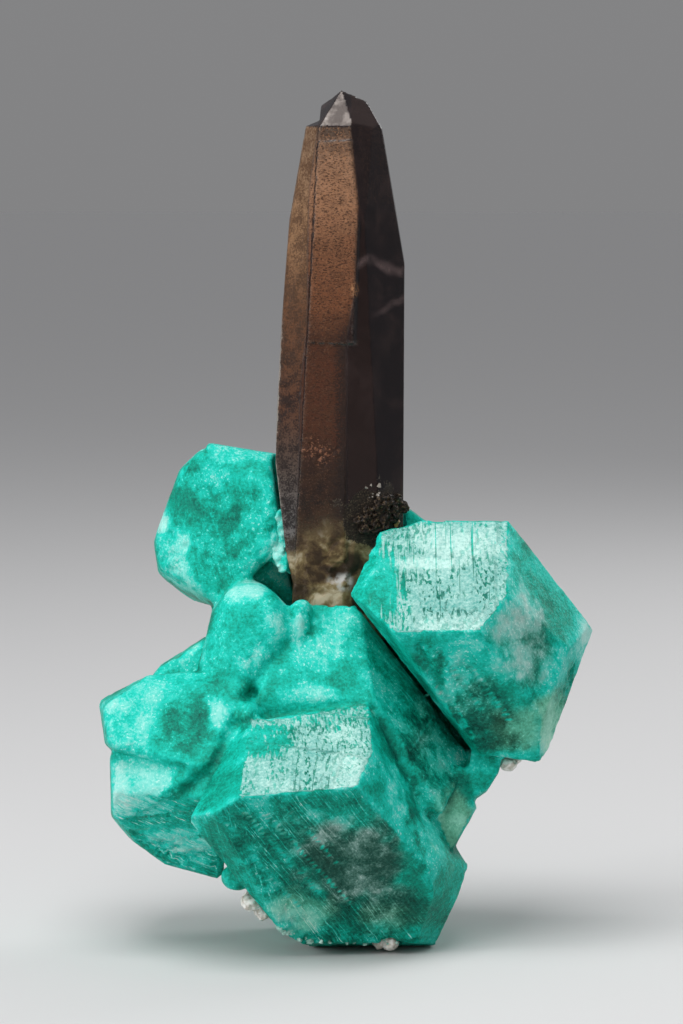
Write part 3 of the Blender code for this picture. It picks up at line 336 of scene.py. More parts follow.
# Clouded, yellowish and white patches: kind, middle, reach right and up in millimetres, and strength.
PATCHES = [
    ("grey", (-1.6, -20.3, 13.6), (9.0, 8.0), 0.95),
    ("grey", (4.5, -17.0, 8.0), (6.0, 4.0), 0.6),
    ("grey", (-9.0, -23.0, 18.0), (5.0, 5.0), 0.3),
    ("grey", (22.6, -10.5, 43.6), (5.4, 9.4), 0.62),
    ("grey", (16.0, -11.3, 35.0), (6.0, 6.0), 0.35),
    ("grey", (9.5, -9.2, 29.0), (6.0, 9.0), 0.3),
    ("grey", (-25.0, -9.8, 14.0), (7.0, 4.0), 0.4),
    ("olive", (26.4, -5.0, 31.6), (3.4, 5.6), 0.9),
    ("olive", (21.6, -9.0, 31.0), (5.4, 4.0), 0.7),
    ("olive", (13.1, -8.8, 17.0), (4.0, 6.0), 1.0),
    ("olive", (-8.0, -16.0, 7.0), (6.0, 4.4), 0.6),
    ("olive", (4.0, -15.0, 5.6), (7.0, 3.4), 0.5),
    ("white", (-19.9, -14.0, 34.0), (2.1, 3.0), 0.8),
    ("white", (-4.6, -7.0, 45.6), (6.0, 2.4), 0.4),
    ("white", (-4.4, -9.4, 42.6), (6.0, 3.0), 0.5),
    ("white", (-8.8, -9.4, 43.6), (1.6, 4.0), 0.55),
    ("white", (-7.0, -11.0, 36.4), (7.0, 1.4), 0.45),
    ("white", (-16.4, -9.0, 49.6), (5.6, 2.0), 0.5),
    ("white", (-12.6, -8.6, 44.0), (2.4, 3.6), 0.4),
    ("white", (-11.0, -0.6, 54.4), (2.4, 4.0), 0.6),
    ("white", (-13.6, -8.6, 46.6), (3.0, 2.6), 0.4),
    ("white", (14.0, -7.0, 56.8), (7.6, 2.6), 0.7),
    ("white", (10.0, -9.0, 54.4), (6.6, 0.9), 0.9),
    ("white", (13.6, -15.0, 46.4), (6.0, 1.8), 0.6),
    ("white", (-11.0, -25.0, 25.6), (3.0, 1.6), 0.35),
    ("white", (-1.0, -24.0, 27.0), (4.6, 4.0), 0.6),
    ("white", (10.6, -9.2, 27.6), (2.6, 5.0), 0.4),
    ("white", (-14.6, -24.6, 20.6), (4.6, 2.6), 0.4),
    ("white", (-20.6, 1.6, 64.0), (4.4, 4.4), 0.36),
    ("white", (-14.6, 1.0, 61.6), (3.6, 6.0), 0.36),
    ("white", (-22.4, 1.8, 55.4), (4.6, 5.0), 0.40),
    ("white", (-17.0, 1.0, 55.0), (3.0, 4.4), 0.30),
    ("white", (-24.6, 3.0, 51.6), (3.0, 2.0), 0.3),
    ("white", (21.6, -10.0, 47.4), (4.4, 5.0), 0.6),
    ("white", (21.0, -11.0, 41.0), (3.6, 4.6), 0.6),
    ("white", (26.0, -8.0, 38.0), (3.0, 6.0), 0.4),
    ("white", (14.0, -12.6, 43.6), (3.6, 1.6), 0.5),
    ("white", (14.0, -11.6, 39.4), (1.6, 6.0), 0.5),
    ("white", (18.0, -11.0, 35.6), (4.0, 3.0), 0.22),
    ("white", (12.4, -9.4, 38.4), (1.2, 5.6), 0.6),
    ("white", (5.0, -18.0, 23.0), (2.2, 6.0), 0.5),
    ("white", (9.4, -16.0, 17.0), (3.0, 7.0), 0.5),
    ("white", (13.0, -9.0, 26.6), (2.6, 2.2), 0.5),
    ("white", (6.6, -9.2, 33.0), (3.0, 3.0), 0.35),
    ("white", (-9.0, -17.0, 5.4), (5.4, 3.0), 0.55),
    ("white", (-30.0, -16.0, 24.6), (5.0, 4.0), 0.42),
    ("white", (-31.0, -13.0, 33.0), (5.0, 7.0), 0.30),
    ("white", (-24.6, -10.0, 15.6), (8.0, 3.0), 0.6),
    ("white", (-30.0, -15.6, 20.6), (5.0, 2.4), 0.6),
    ("white", (32.2, -1.0, 43.4), (1.4, 2.0), 1.0),
    ("white", (25.4, -7.0, 28.6), (4.4, 1.6), 0.6),
    ("white", (-3.0, -20.0, 32.0), (3.0, 1.6), 0.4),
    ("white", (-28.6, 6.0, 58.6), (1.2, 1.8), 1.0),
    ("white", (-23.0, -3.0, 40.0), (5.0, 2.4), 0.4),
]
behind = ease(facing[:, 1], -0.3, 0.2)
veiled = billowy(spots, 8.0, 31.0)
patch = {
    "grey": 0.6 * behind * ease(veiled, -0.05, -0.5),
    "olive": 0.6 * behind * ease(billowy(spots, 9.0, 51.0), 0.15, 0.6),
    "white": 0.6 * behind * ease(veiled, 0.05, 0.5),
}
for kind, middle, (wide, high), strength in PATCHES:
    outward = facing[np.argmin(np.linalg.norm(spots - middle, axis=1))]
    apart = np.hypot((spots[:, 0] - middle[0]) / wide, (spots[:, 2] - middle[2]) / high)
    amount = strength * ease(apart + broad, 1.25, 0.35) * ease(np.abs(spots[:, 1] - middle[1]), 9.0, 6.0)
    amount *= ease(facing @ outward, 0.35, 0.7)
    patch[kind] = np.maximum(patch[kind], amount)

# A painted highlight along the outer edges, which the material lays on the tone.
rim = ease(to_edge + rough(spots, 1.6, 3.0) * 0.4, 0.85, 0.0)
# Painted shade: the tone drops within 2 mm of a crevice.
tone -= 0.12 * ease(to_crevice, 2.0, 0.0)
for name, values in {"tone": tone, "frost": frost, "streak": streak, "rim": rim, **patch}.items():
    set_mask(stone, name, values)
layer = stone.data.attributes.new("lay", "FLOAT_VECTOR", "POINT")
layer.data.foreach_set("vector", (lay * MM).astype(np.float32).ravel())

# The surface is worn inward only: etching all over, furrows along each worked face, chipped edges.
DEEPEST_WEAR = 0.9
UNWORN_FOOT = 0.3
RAGGED = [
    ((29.0, -2.0, 33.0), (5.0, 6.0, 8.0)),
    ((-3.0, -13.0, 1.5), (14.0, 6.0, 2.4)),
    ((-11.0, -16.0, 5.0), (5.0, 5.0, 4.0)),
    ((-27.0, 6.0, 55.0), (4.0, 8.0, 8.0)),
    ((-27.0, -10.0, 12.0), (9.0, 7.0, 4.0)),
]
ragged = np.zeros(len(spots))
for middle, reach in RAGGED:
    ragged = np.maximum(ragged, ease(around(spots, middle, reach), 1.0, 0.6))
hollow = 0.10 + 0.07 * rough(spots, 2.8, 1.0) + 0.06 * rough(spots, 1.0, 2.0) * (1 - 0.6 * frost)
ridges = np.array([noise.noise(Vector((x / 9.0, y / 0.6, z / 9.0))) for x, y, z in lay])
hollow += furrow * np.clip(0.5 + ridges * 1.5, 0, 1)
chips = np.clip(rough(spots, 1.2, 7.0) * 1.8, 0, 1) * ease(to_edge, 1.1, 0.0)
hollow += chips * (0.3 + 0.5 * ragged) + 0.5 * ragged * np.clip(rough(spots, 0.9, 21.0) * 1.5, 0, 1)
hollow = np.clip(hollow, 0.0, DEEPEST_WEAR)
hollow[spots[:, 2] < UNWORN_FOOT] = 0.0
wear(stone, spots, hollow)


def shader_of(name, **settings):
    """A new material with one Principled surface. Returns the material, its tree and the surface node."""
    material = bpy.data.materials.new(name)
    material.use_nodes = True
    tree = material.node_tree
    surface = tree.nodes["Principled BSDF"]
    for socket, value in settings.items():
        surface.inputs[socket.replace("_", " ")].default_value = value
    return material, tree, surface


def wire(tree, kind, sockets=(), **settings):
    """Adds a node, with its settings, and feeds its sockets with numbers or with other nodes' outputs."""
    made = tree.nodes.new("ShaderNode" + kind)
    for setting, value in settings.items():
        setattr(made, setting, value)
    for socket, value in dict(sockets).items():
        if isinstance(value, bpy.types.NodeSocket):
            tree.links.new(value, made.inputs[socket])
        elif isinstance(value, tuple) and len(value) == 3 and made.inputs[socket].type == "RGBA":
            made.inputs[socket].default_value = (*value, 1.0)
        else:
            made.inputs[socket].default_value = value
    return made


def mask(tree, name):
    """One of the piece's stored masks."""
    return wire(tree, "Attribute", attribute_name=name).outputs["Fac"]


def band(tree, value, low, high):
    """0 at low and 1 at high, smooth between."""
    sockets = {"Value": value, "From Min": low, "From Max": high}
    return wire(tree, "MapRange", sockets, interpolation_type="SMOOTHSTEP").outputs["Result"]


def times(tree, first, second):
    """The product of two values."""
    return wire(tree, "Math", {0: first, 1: second}, operation="MULTIPLY").outputs[0]


def plus(tree, *values):
    """The sum of two or more values."""
    total = values[0]
    for value in values[1:]:
        total = wire(tree, "Math", {0: total, 1: value}, operation="ADD").outputs[0]
    return total


def less(tree, first, second):
    """The first value less the second."""
    return wire(tree, "Math", {0: first, 1: second}, operation="SUBTRACT").outputs[0]


def most(tree, first, second):
    """The greater of two values."""
    return wire(tree, "Math", {0: first, 1: second}, operation="MAXIMUM").outputs[0]


def toward(tree, amount, value, goal):
    """A value moved toward a goal by an amount."""
    return wire(tree, "Mix", {0: amount, 2: value, 3: goal}).outputs[0]


def over(tree, amount, under, upper):
    """One colour laid over another by an amount."""
    return wire(tree, "Mix", {0: amount, 6: under, 7: upper}, data_type="RGBA").outputs[2]


def cloud(tree, vector, size, detail=2.0, spread=1.0, roughness=0.5):
    """Noise of a size in millimetres, centred on 0 and reaching about a third of its spread each way."""
    sockets = {"Vector": vector, "Scale": 1 / (size * MM), "Detail": detail, "Roughness": roughness}
    made = wire(tree, "TexNoise", sockets).outputs["Fac"]
    return times(tree, plus(tree, made, -0.5), spread)


def stretched(tree, vector, along, across):
    """Coordinates for marks this long along the lay and this wide across it, in millimetres."""
    sizes = (1 / along, 1 / across, 1 / across)
    return wire(tree, "VectorMath", {0: vector, 1: sizes}, operation="MULTIPLY").outputs[0]


def warped(tree, vector, size, reach):
    """Coordinates pushed about by noise of a size, up to a reach in millimetres."""
    sockets = {"Vector": vector, "Scale": 1 / (size * MM), "Detail": 3.0}
    push = wire(tree, "TexNoise", sockets).outputs["Color"]
    push = wire(tree, "VectorMath", {0: push, 1: (0.5, 0.5, 0.5)}, operation="SUBTRACT").outputs[0]
    push = wire(tree, "VectorMath", {0: push, "Scale": reach * MM}, operation="SCALE").outputs[0]
    return wire(tree, "VectorMath", {0: vector, 1: push}, operation="ADD").outputs[0]


def tinted(tree, value, stops):
    """A colour picked from stops, each a value and its colour."""
    made = wire(tree, "ValToRGB", {"Fac": value})
    ramp = made.color_ramp
    while len(ramp.elements) < len(stops):
        ramp.elements.new(0.5)
    for stop, (height_share, tint) in zip(ramp.elements, stops):
        stop.position = height_share
        stop.color = (*tint, 1.0)
    return made.outputs["Color"]


# The stone's colours by tone, from darkest to lightest, and how far its tone is shifted as a whole.
TONE_SHIFT = -0.085
GREENS = [
    (0.0, (0.0005, 0.016, 0.011)),
    (0.15, (0.001, 0.06, 0.042)),
    (0.30, (0.002, 0.14, 0.098)),
    (0.45, (0.002, 0.27, 0.185)),
    (0.60, (0.004, 0.45, 0.345)),
    (0.70, (0.012, 0.57, 0.47)),
    (0.82, (0.23, 0.69, 0.61)),
    (1.0, (0.66, 0.84, 0.78)),
]
GREYS = [
    (0.0, (0.002, 0.018, 0.013)),
    (0.28, (0.016, 0.088, 0.064)),
    (0.45, (0.080, 0.205, 0.165)),
    (0.62, (0.22, 0.38, 0.335)),
    (1.0, (0.62, 0.78, 0.73)),
]
FROSTS = [
    (0.25, (0.08, 0.38, 0.33)),
    (0.50, (0.29, 0.57, 0.52)),
    (0.78, (0.56, 0.80, 0.74)),
]
OLIVES = [
    (0.0, (0.004, 0.018, 0.010)),
    (0.30, (0.030, 0.14, 0.085)),
    (0.60, (0.13, 0.46, 0.31)),
    (0.82, (0.30, 0.70, 0.54)),
    (1.0, (0.66, 0.84, 0.70)),
]
amazonite, tree, surface = shader_of("amazonite", Specular_IOR_Level=0.09, IOR=1.53)
place = wire(tree, "TexCoord").outputs["Object"]
along_lay = wire(tree, "Attribute", attribute_name="lay").outputs["Vector"]
# Noise of several sizes, some of it drawn out along the striations.
torn_lay = warped(tree, along_lay, 1.1, 0.8)
clouds = cloud(tree, place, 3.2, 9.0, 0.52, 0.66)
grain = cloud(tree, place, 0.42, 4.0, 0.60, 0.7)
feather = cloud(tree, stretched(tree, torn_lay, 2.6, 0.9), 1.0, 7.0, 1.5, 0.66)
waving = warped(tree, along_lay, 4.0, 0.8)
fibre = cloud(tree, stretched(tree, waving, 7.0, 0.26), 1.0, 4.0, 1.0, 0.66)
# The tone: patches, clouds and grain, with fine white lines along the striations.
tone = plus(tree, mask(tree, "tone"), clouds, grain, TONE_SHIFT)
white_lines = times(tree, band(tree, fibre, 0.05, 0.17), band(tree, clouds, -0.12, 0.08))
lined = times(tree, plus(tree, times(tree, fibre, 0.5), times(tree, white_lines, 0.36)), mask(tree, "streak"))
tone = plus(tree, tone, lined)
# A painted highlight along the edges, a whitish veil in the stone, feathery white patches and fine white
# specks.
painted_edge_highlight = times(tree, mask(tree, "rim"), band(tree, clouds, -0.06, 0.12))
tone = toward(tree, times(tree, painted_edge_highlight, 0.6), tone, 0.84)
haze = cloud(tree, warped(tree, place, 8.0, 2.5), 5.5, 10.0, 1.0, 0.70)
veil = band(tree, plus(tree, haze, times(tree, mask(tree, "white"), 0.3)), -0.03, 0.17)
veil = times(tree, veil, less(tree, 1.0, times(tree, mask(tree, "frost"), 0.85)))
tone = toward(tree, times(tree, veil, 0.58), tone, 0.85)
white = band(tree, plus(tree, times(tree, mask(tree, "white"), 0.9), feather), 0.30, 0.85)
white = times(tree, white, band(tree, mask(tree, "white"), 0.0, 0.25))
tone = toward(tree, times(tree, white, 0.62), tone, 0.92)
specks = band(tree, cloud(tree, place, 0.34, 3.0, 1.0, 0.62), 0.05, 0.17)
specks = times(tree, specks, plus(tree, times(tree, most(tree, veil, white), 0.50), 0.14))
tone = toward(tree, specks, tone, 0.96)
# The frost on the worked faces, with the dark flecks and scores etched through it in columns.
columns = cloud(tree, stretched(tree, along_lay, 6.0, 0.42), 1.0, 2.0, 1.4)
frosted = band(tree, plus(tree, mask(tree, "frost"), columns, times(tree, feather, 0.35)), 0.36, 0.56)
strips = band(tree, cloud(tree, stretched(tree, along_lay, 26.0, 1.3), 1.0, 1.0), -0.10, 0.06)
flecks = band(tree, cloud(tree, stretched(tree, along_lay, 0.9, 0.42), 1.0, 3.0), 0.035, 0.07)
blotches = band(tree, cloud(tree, place, 3.6, 3.0), -0.05, 0.06)
flecks = times(tree, flecks, most(tree, strips, times(tree, blotches, 0.9)))
flecks = times(tree, flecks, less(tree, 1.0, times(tree, mask(tree, "white"), 0.8)))
scores = band(tree, cloud(tree, stretched(tree, along_lay, 22.0, 0.36), 1.0, 1.0), 0.17, 0.21)
bare = most(tree, flecks, scores)
frosted = times(tree, frosted, less(tree, 1.0, times(tree, bare, 0.95)))
# The colour: green, greyish or yellowish in places, under the frost.
colour = tinted(tree, tone, GREENS)
grey_edge = band(tree, plus(tree, mask(tree, "grey"), times(tree, haze, 1.8)), 0.15, 0.95)
colour = over(tree, grey_edge, colour, tinted(tree, tone, GREYS))
olive_edge = band(tree, plus(tree, mask(tree, "olive"), times(tree, clouds, 1.2)), 0.1, 0.95)
colour = over(tree, olive_edge, colour, tinted(tree, tone, OLIVES))
frost_tone = plus(tree, 0.47, times(tree, mask(tree, "white"), 0.3), times(tree, clouds, 0.9))
frost_tone = plus(tree, frost_tone, times(tree, grain, 1.8))
colour = over(tree, times(tree, frosted, 0.95), colour, tinted(tree, frost_tone, FROSTS))
tree.links.new(colour, surface.inputs["Base Color"])
# Frost is duller than bare stone, and stands up a little with the grain, clouds and lines.
roughness = plus(tree, 0.42, times(tree, frosted, 0.2))
tree.links.new(roughness, surface.inputs["Roughness"])
height = plus(tree, times(tree, grain, 3.0), times(tree, clouds, 1.5), times(tree, frosted, 0.5))
height = plus(tree, height, times(tree, lined, 1.2))
bump = wire(tree, "Bump", {"Height": height, "Strength": 0.6, "Distance": 0.14 * MM})
tree.links.new(bump.outputs["Normal"], surface.inputs["Normal"])
stone.data.materials.append(amazonite)

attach(stone, "root")
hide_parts("amazonite_cluster")

# The smoky quartz: one tall prism with a narrower one along its left side. It is brown-black clear
# crystal, etched and frosted on its front and left faces, with a clear cloudy foot where it grew.
QUARTZ_GRAIN = 0.27
TIP_FOOT = 114.6

# The groove and the front face's right edge, each as heights and how far right it is at each height.
GROOVE = ([56.0, 69.4, 78.7, 87.3, 99.2, 105.8, 115.0], [-9.3, -8.7, -8.5, -7.5, -7.45, -7.3, -6.0])
FRONT_RIGHT = ([50.0, 64.0, 84.7, 92.6, 103.6, 109.0, 115.0], [-2.0, -2.0, -2.0, -0.84, -0.4, -0.93, -1.5])

prism = stone_copy("smoky_quartz", "smoky_quartz_prism", QUARTZ_GRAIN)
shape = merged_shape("smoky_quartz")
spots = points_of(prism)
facing = faces_nearest(shape, spots)
to_edge = edge_distance(shape, spots, True, 4.0)
shape.free()
across = spots[:, 0]
up = spots[:, 2]
from_groove = across - np.interp(up, *GROOVE)
from_right = across - np.interp(up, *FRONT_RIGHT)
front = facing[:, 1] < -0.45
under_tip = up < TIP_FOOT
tip_front, _ = on_face(facing, spots, np.array((-3.4, 0.2, 116.9)), 0.98)
waver = rough(spots, 2.4)
foot = ease(up - 0.5 * (across + 5.0) + 1.6 * waver, 60.5, 55.0)
veil_height = 95.2 + 0.9 * np.cos((across - 1.2) * 0.75)
veil = ease(np.abs(up - veil_height + 0.5 * waver), 1.1, 0.1) * ease(from_right, 0.0, 0.4)
low_veil = ease(np.abs(up - 89.0 - 0.5 * (across - 3.0) + 0.4 * waver), 0.8, 0.1)
low_veil *= 0.7 * ease(across, 1.0, 4.0)
masks = {
    "left_side": ease(from_groove, 0.1, -0.1) * under_tip,
    "main_face": ease(from_groove, -0.1, 0.15) * ease(from_right, 0.2, -0.2) * front * under_tip,
    "margin_and_groove_shade": ease(-from_right, 2.8, 0.0) * ease(up, 90.0, 84.0) + 0.25 * ease(from_groove, 0.6, 0.0),
    "left_edge": ease(across, -10.4, -11.6) * ease(up, 118.0, 96.0) * ease(-facing[:, 0], 0.3, 0.7),
    "front_right": ease(from_right, 0.0, 0.2) * ease(facing[:, 0], 0.62, 0.5) * front,
    "tip_front": ease(to_edge, 0.0, 0.25) * tip_front,
    "foot": foot * (facing[:, 1] < 0.2),
    "veil": np.maximum(veil, low_veil * (from_right > 0)),
    "block": ease(up, 103.6, 104.2) * ease(from_right, 0.6, 1.2) * under_tip,
    "glint": ease(around(spots, (-0.9, -4.4, 92.0), (0.7, 2.0, 1.3)), 1.1, 0.4),
    "chips": ease(around(spots, (-5.9, -3.8, 69.5), (3.0, 3.0, 2.4)) + 0.3 * waver, 1.1, 0.6),
    "stain": ease(around(spots, (2.2, -3.0, 60.2), (6.0, 9.0, 4.6)) + 0.5 * waver, 1.15, 0.6),
    "white": ease(around(spots, (-2.6, -4.7, 51.2), (2.0, 4.0, 1.4)) + 0.4 * waver, 1.1, 0.5),
    "rim": ease(to_edge + 0.2 * rough(spots, 0.8), 0.45, 0.05),
}
for name, values in masks.items():
    set_mask(prism, name, values)
pits = np.clip(rough(spots * np.array((1.0, 1.0, 1.6)), 0.6) * 2.0, 0, 1)
etched_left = np.clip(rough(spots, 0.7, 4.0), 0, 1)
hollow = 0.01 + 0.05 * pits * masks["main_face"] + 0.09 * etched_left * masks["left_side"]
shells = np.clip(np.sin(around(spots, (-3.0, -6.0, 55.5), (1.0, 1.0, 1.0)) * 3.2 + waver * 3), 0, 1)
broken = ease(around(spots, (-3.0, -4.0, 54.5), (3.4, 4.0, 3.6)) + 0.3 * waver, 1.1, 0.7)
hollow += 0.22 * shells * broken + 0.16 * np.clip(rough(spots, 1.0, 8.0), 0, 1) * masks["foot"]
hollow += 0.12 * np.clip(rough(spots, 0.8, 9.0) * 2, 0, 1) * ease(to_edge, 0.5, 0.0)
hollow += 0.18 * np.clip(rough(spots, 0.7, 14.0) * 2, 0, 1) * masks["chips"]
wear(prism, spots, hollow)

# The front face's browns, from the foot to the tip.
BROWNS = [
    (0.0, (0.050, 0.038, 0.020)),
    (0.20, (0.045, 0.033, 0.018)),
    (0.27, (0.010, 0.006, 0.005)),
    (0.33, (0.022, 0.010, 0.007)),
    (0.38, (0.060, 0.019, 0.009)),
    (0.50, (0.070, 0.021, 0.009)),
    (0.56, (0.056, 0.019, 0.009)),
    (0.62, (0.145, 0.052, 0.022)),
    (0.72, (0.175, 0.072, 0.034)),
    (0.80, (0.28, 0.138, 0.072)),
    (0.87, (0.26, 0.140, 0.080)),
    (0.92, (0.085, 0.055, 0.038)),
    (1.0, (0.060, 0.048, 0.038)),
]
smoky, tree, surface = shader_of("smoky_quartz", IOR=1.544, Specular_IOR_Level=0.10)
place = wire(tree, "TexCoord").outputs["Object"]
up_axis = wire(tree, "SeparateXYZ", {"Vector": place}).outputs["Z"]
heights = {"Value": up_axis, "From Min": 42 * MM, "From Max": 120 * MM}
share = wire(tree, "MapRange", heights).outputs["Result"]
# The etched front face: browns with darker patches, dark pits and pale grains.
browns = tinted(tree, plus(tree, share, cloud(tree, place, 2.6, 5.0, 0.12, 0.6)), BROWNS)
grain = cloud(tree, place, 0.26, 3.0, 1.0, 0.65)
etch_vector = wire(tree, "Mapping", {"Vector": place, "Rotation": (0.0, 0.35, 0.0), "Scale": (1.0, 1.0, 2.2)})
etch = cloud(tree, etch_vector.outputs["Vector"], 0.42, 4.0, 1.0, 0.7)
etched = band(tree, etch, 0.0, 0.09)
patches = band(tree, cloud(tree, place, 1.7, 6.0, 1.0, 0.7), -0.12, 0.16)
browns = over(tree, times(tree, patches, 0.42), browns, (0.060, 0.026, 0.012))
browns = over(tree, times(tree, etched, 0.86), browns, (0.030, 0.011, 0.005))
pale_grains = band(tree, grain, 0.05, 0.16)
brighter_up = {"Value": share, "From Min": 0.5, "To Min": 0.12, "To Max": 0.85}
sparkle = times(tree, pale_grains, wire(tree, "MapRange", brighter_up).outputs["Result"])
browns = over(tree, sparkle, browns, (0.46, 0.215, 0.10))
# A dark band along the front face's right edge, and painted shade along the groove.
margin_with_groove_shade = band(tree, plus(tree, mask(tree, "margin_and_groove_shade"), times(tree, grain, 2.8)), 0.2, 0.8)
browns = over(tree, times(tree, margin_with_groove_shade, 0.8), browns, (0.012, 0.007, 0.006))
chips = times(tree, mask(tree, "chips"), band(tree, cloud(tree, place, 0.55, 4.0, 1.0, 0.7), 0.03, 0.12))
browns = over(tree, times(tree, chips, 0.8), browns, (0.26, 0.11, 0.06))
# The glassy faces: plum-black all round, browner just right of the front face.
PLUM = (0.013, 0.008, 0.010)
colour = over(tree, mask(tree, "front_right"), PLUM, (0.030, 0.015, 0.013))
# The side prism's left faces: grey near the foot, brown above, and frosty along the outer edge.
SILVERS = [
    (0.0, (0.17, 0.16, 0.15)),
    (0.22, (0.13, 0.12, 0.115)),
    (0.32, (0.085, 0.058, 0.045)),
    (0.42, (0.090, 0.036, 0.018)),
    (0.60, (0.115, 0.048, 0.021)),
    (0.75, (0.24, 0.130, 0.064)),
    (1.0, (0.19, 0.130, 0.085)),
]
SHADOWS = [(0.2, (0.015, 0.013, 0.013)), (0.45, (0.022, 0.010, 0.007)), (0.75, (0.090, 0.044, 0.021))]
mottled = band(tree, plus(tree, grain, cloud(tree, place, 1.8, 4.0, 0.8)), -0.14, 0.2)
side = over(tree, mottled, tinted(tree, share, SHADOWS), tinted(tree, share, SILVERS))
frosty = band(tree, plus(tree, mask(tree, "left_edge"), times(tree, grain, 1.6)), 0.35, 0.95)
side = over(tree, times(tree, frosty, 0.75), side, (0.34, 0.31, 0.28))
blocky = times(tree, mask(tree, "block"), band(tree, grain, -0.02, 0.16))
colour = over(tree, times(tree, blocky, 0.55), colour, (0.075, 0.042, 0.030))
# Inner smoke and pale wisps show in the glassy faces. The etched faces lie over them.
smoke_cloud = cloud(tree, warped(tree, place, 6.0, 6.0), 5.0, 6.0, 1.6, 0.6)
colour = over(tree, band(tree, smoke_cloud, -0.1, 0.5), colour, (0.056, 0.033, 0.031))
colour = over(tree, times(tree, band(tree, grain, 0.04, 0.16), 0.25), colour, (0.060, 0.036, 0.030))
wisps = times(tree, mask(tree, "veil"), band(tree, smoke_cloud, -0.4, 0.1))
colour = over(tree, times(tree, wisps, 0.7), colour, (0.22, 0.15, 0.145))
colour = over(tree, mask(tree, "main_face"), colour, browns)
colour = over(tree, mask(tree, "left_side"), colour, side)
# The cloudy golden foot, a painted glint on a chip, a whitish spot, soot round the crust and the
# silvery tip facet.
swirl = cloud(tree, warped(tree, place, 4.0, 5.0), 3.6, 8.0, 1.9, 0.60)
# The foot's colours, from dark brown to golden; the palest are painted glints.
GOLDS = [
    (0.0, (0.012, 0.008, 0.005)),
    (0.36, (0.038, 0.022, 0.010)),
    (0.50, (0.098, 0.064, 0.027)),
    (0.64, (0.21, 0.155, 0.072)),
    (0.82, (0.42, 0.36, 0.25)),
]
colour = over(tree, mask(tree, "foot"), colour, tinted(tree, plus(tree, swirl, 0.5), GOLDS))
# Painted glint: a bright golden reflection laid on the chip.
glint = times(tree, mask(tree, "glint"), band(tree, grain, -0.12, 0.1))
colour = over(tree, glint, colour, (0.38, 0.18, 0.08))
whitish = times(tree, mask(tree, "white"), band(tree, cloud(tree, place, 1.2, 5.0), -0.1, 0.12))
colour = over(tree, whitish, colour, (0.42, 0.41, 0.39))
stained = band(tree, plus(tree, mask(tree, "stain"), times(tree, grain, 1.6)), 0.4, 0.6)
SOOTS = [(0.35, (0.008, 0.006, 0.005)), (0.6, (0.035, 0.026, 0.018)), (0.72, (0.16, 0.12, 0.08))]
colour = over(tree, stained, colour, tinted(tree, plus(tree, grain, 0.5), SOOTS))
TIP_GREYS = [(0.3, (0.12, 0.10, 0.092)), (0.48, (0.27, 0.235, 0.215)), (0.7, (0.42, 0.385, 0.365))]
colour = over(tree, mask(tree, "tip_front"), colour, tinted(tree, plus(tree, swirl, 0.5), TIP_GREYS))
# Painted highlight along the prism's edges.
lit_rim = times(tree, mask(tree, "rim"), band(tree, grain, -0.1, 0.12))
colour = over(tree, times(tree, lit_rim, 0.16), colour, (0.30, 0.22, 0.17))
tree.links.new(colour, surface.inputs["Base Color"])
# Etched faces are dull and let little light in, and the others are clearer and smoother.
frosting = most(tree, mask(tree, "main_face"), most(tree, mask(tree, "left_side"), mask(tree, "tip_front")))
frosting = most(tree, frosting, most(tree, stained, times(tree, mask(tree, "foot"), 0.6)))
clear = wire(tree, "MapRange", {"Value": frosting, "To Min": 0.45, "To Max": 0.08}).outputs["Result"]
tree.links.new(clear, surface.inputs["Transmission Weight"])
dull = wire(tree, "MapRange", {"Value": frosting, "To Min": 0.12, "To Max": 0.48}).outputs["Result"]
tree.links.new(dull, surface.inputs["Roughness"])
relief = times(tree, plus(tree, times(tree, grain, 1.6), times(tree, etched, -0.8)), frosting)
bump = wire(tree, "Bump", {"Height": relief, "Strength": 0.4, "Distance": 0.08 * MM})
tree.links.new(bump.outputs["Normal"], surface.inputs["Normal"])
smoke = wire(tree, "VolumeAbsorption", {"Color": (0.42, 0.27, 0.20), "Density": 420.0})
tree.links.new(smoke.outputs["Volume"], tree.nodes["Material Output"].inputs["Volume"])
prism.data.materials.append(smoky)

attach(prism, "root")
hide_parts("smoky_quartz")

# The albite: three small spots of sugary white feldspar, at the lower left, under the front block and
# under the right block. Each grew on the amazonite.
ALBITE_GRAIN = 0.12
chalky, tree, surface = shader_of("white_albite", Roughness=0.5, Specular_IOR_Level=0.4)
place = wire(tree, "TexCoord").outputs["Object"]
patchy = band(tree, cloud(tree, place, 0.9, 5.0), -0.12, 0.12)
colour = over(tree, patchy, (0.55, 0.50, 0.43), (0.86, 0.84, 0.80))
tree.links.new(colour, surface.inputs["Base Color"])
for node in ("albite_left", "albite_foot", "albite_right"):
    sugar = stone_copy(node, node + "_lumps", ALBITE_GRAIN)
    spots = points_of(sugar)
    hollow = 0.25 * np.clip(rough(spots, 1.0) * 1.6 + 0.3, 0, 1) + 0.08 * np.clip(rough(spots, 0.4), 0, 1)
    wear(sugar, spots, hollow)
    sugar.data.materials.append(chalky)
    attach(sugar, "root")
    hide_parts(node)

# The dark crust: a patch of black-brown, iron-stained grains. It grew on the quartz's right faces,
# just above the quartz's foot.
CRUST_GRAIN = 0.14
sooty, tree, surface = shader_of("sooty_grains", Roughness=0.5, Specular_IOR_Level=0.2)
place = wire(tree, "TexCoord").outputs["Object"]
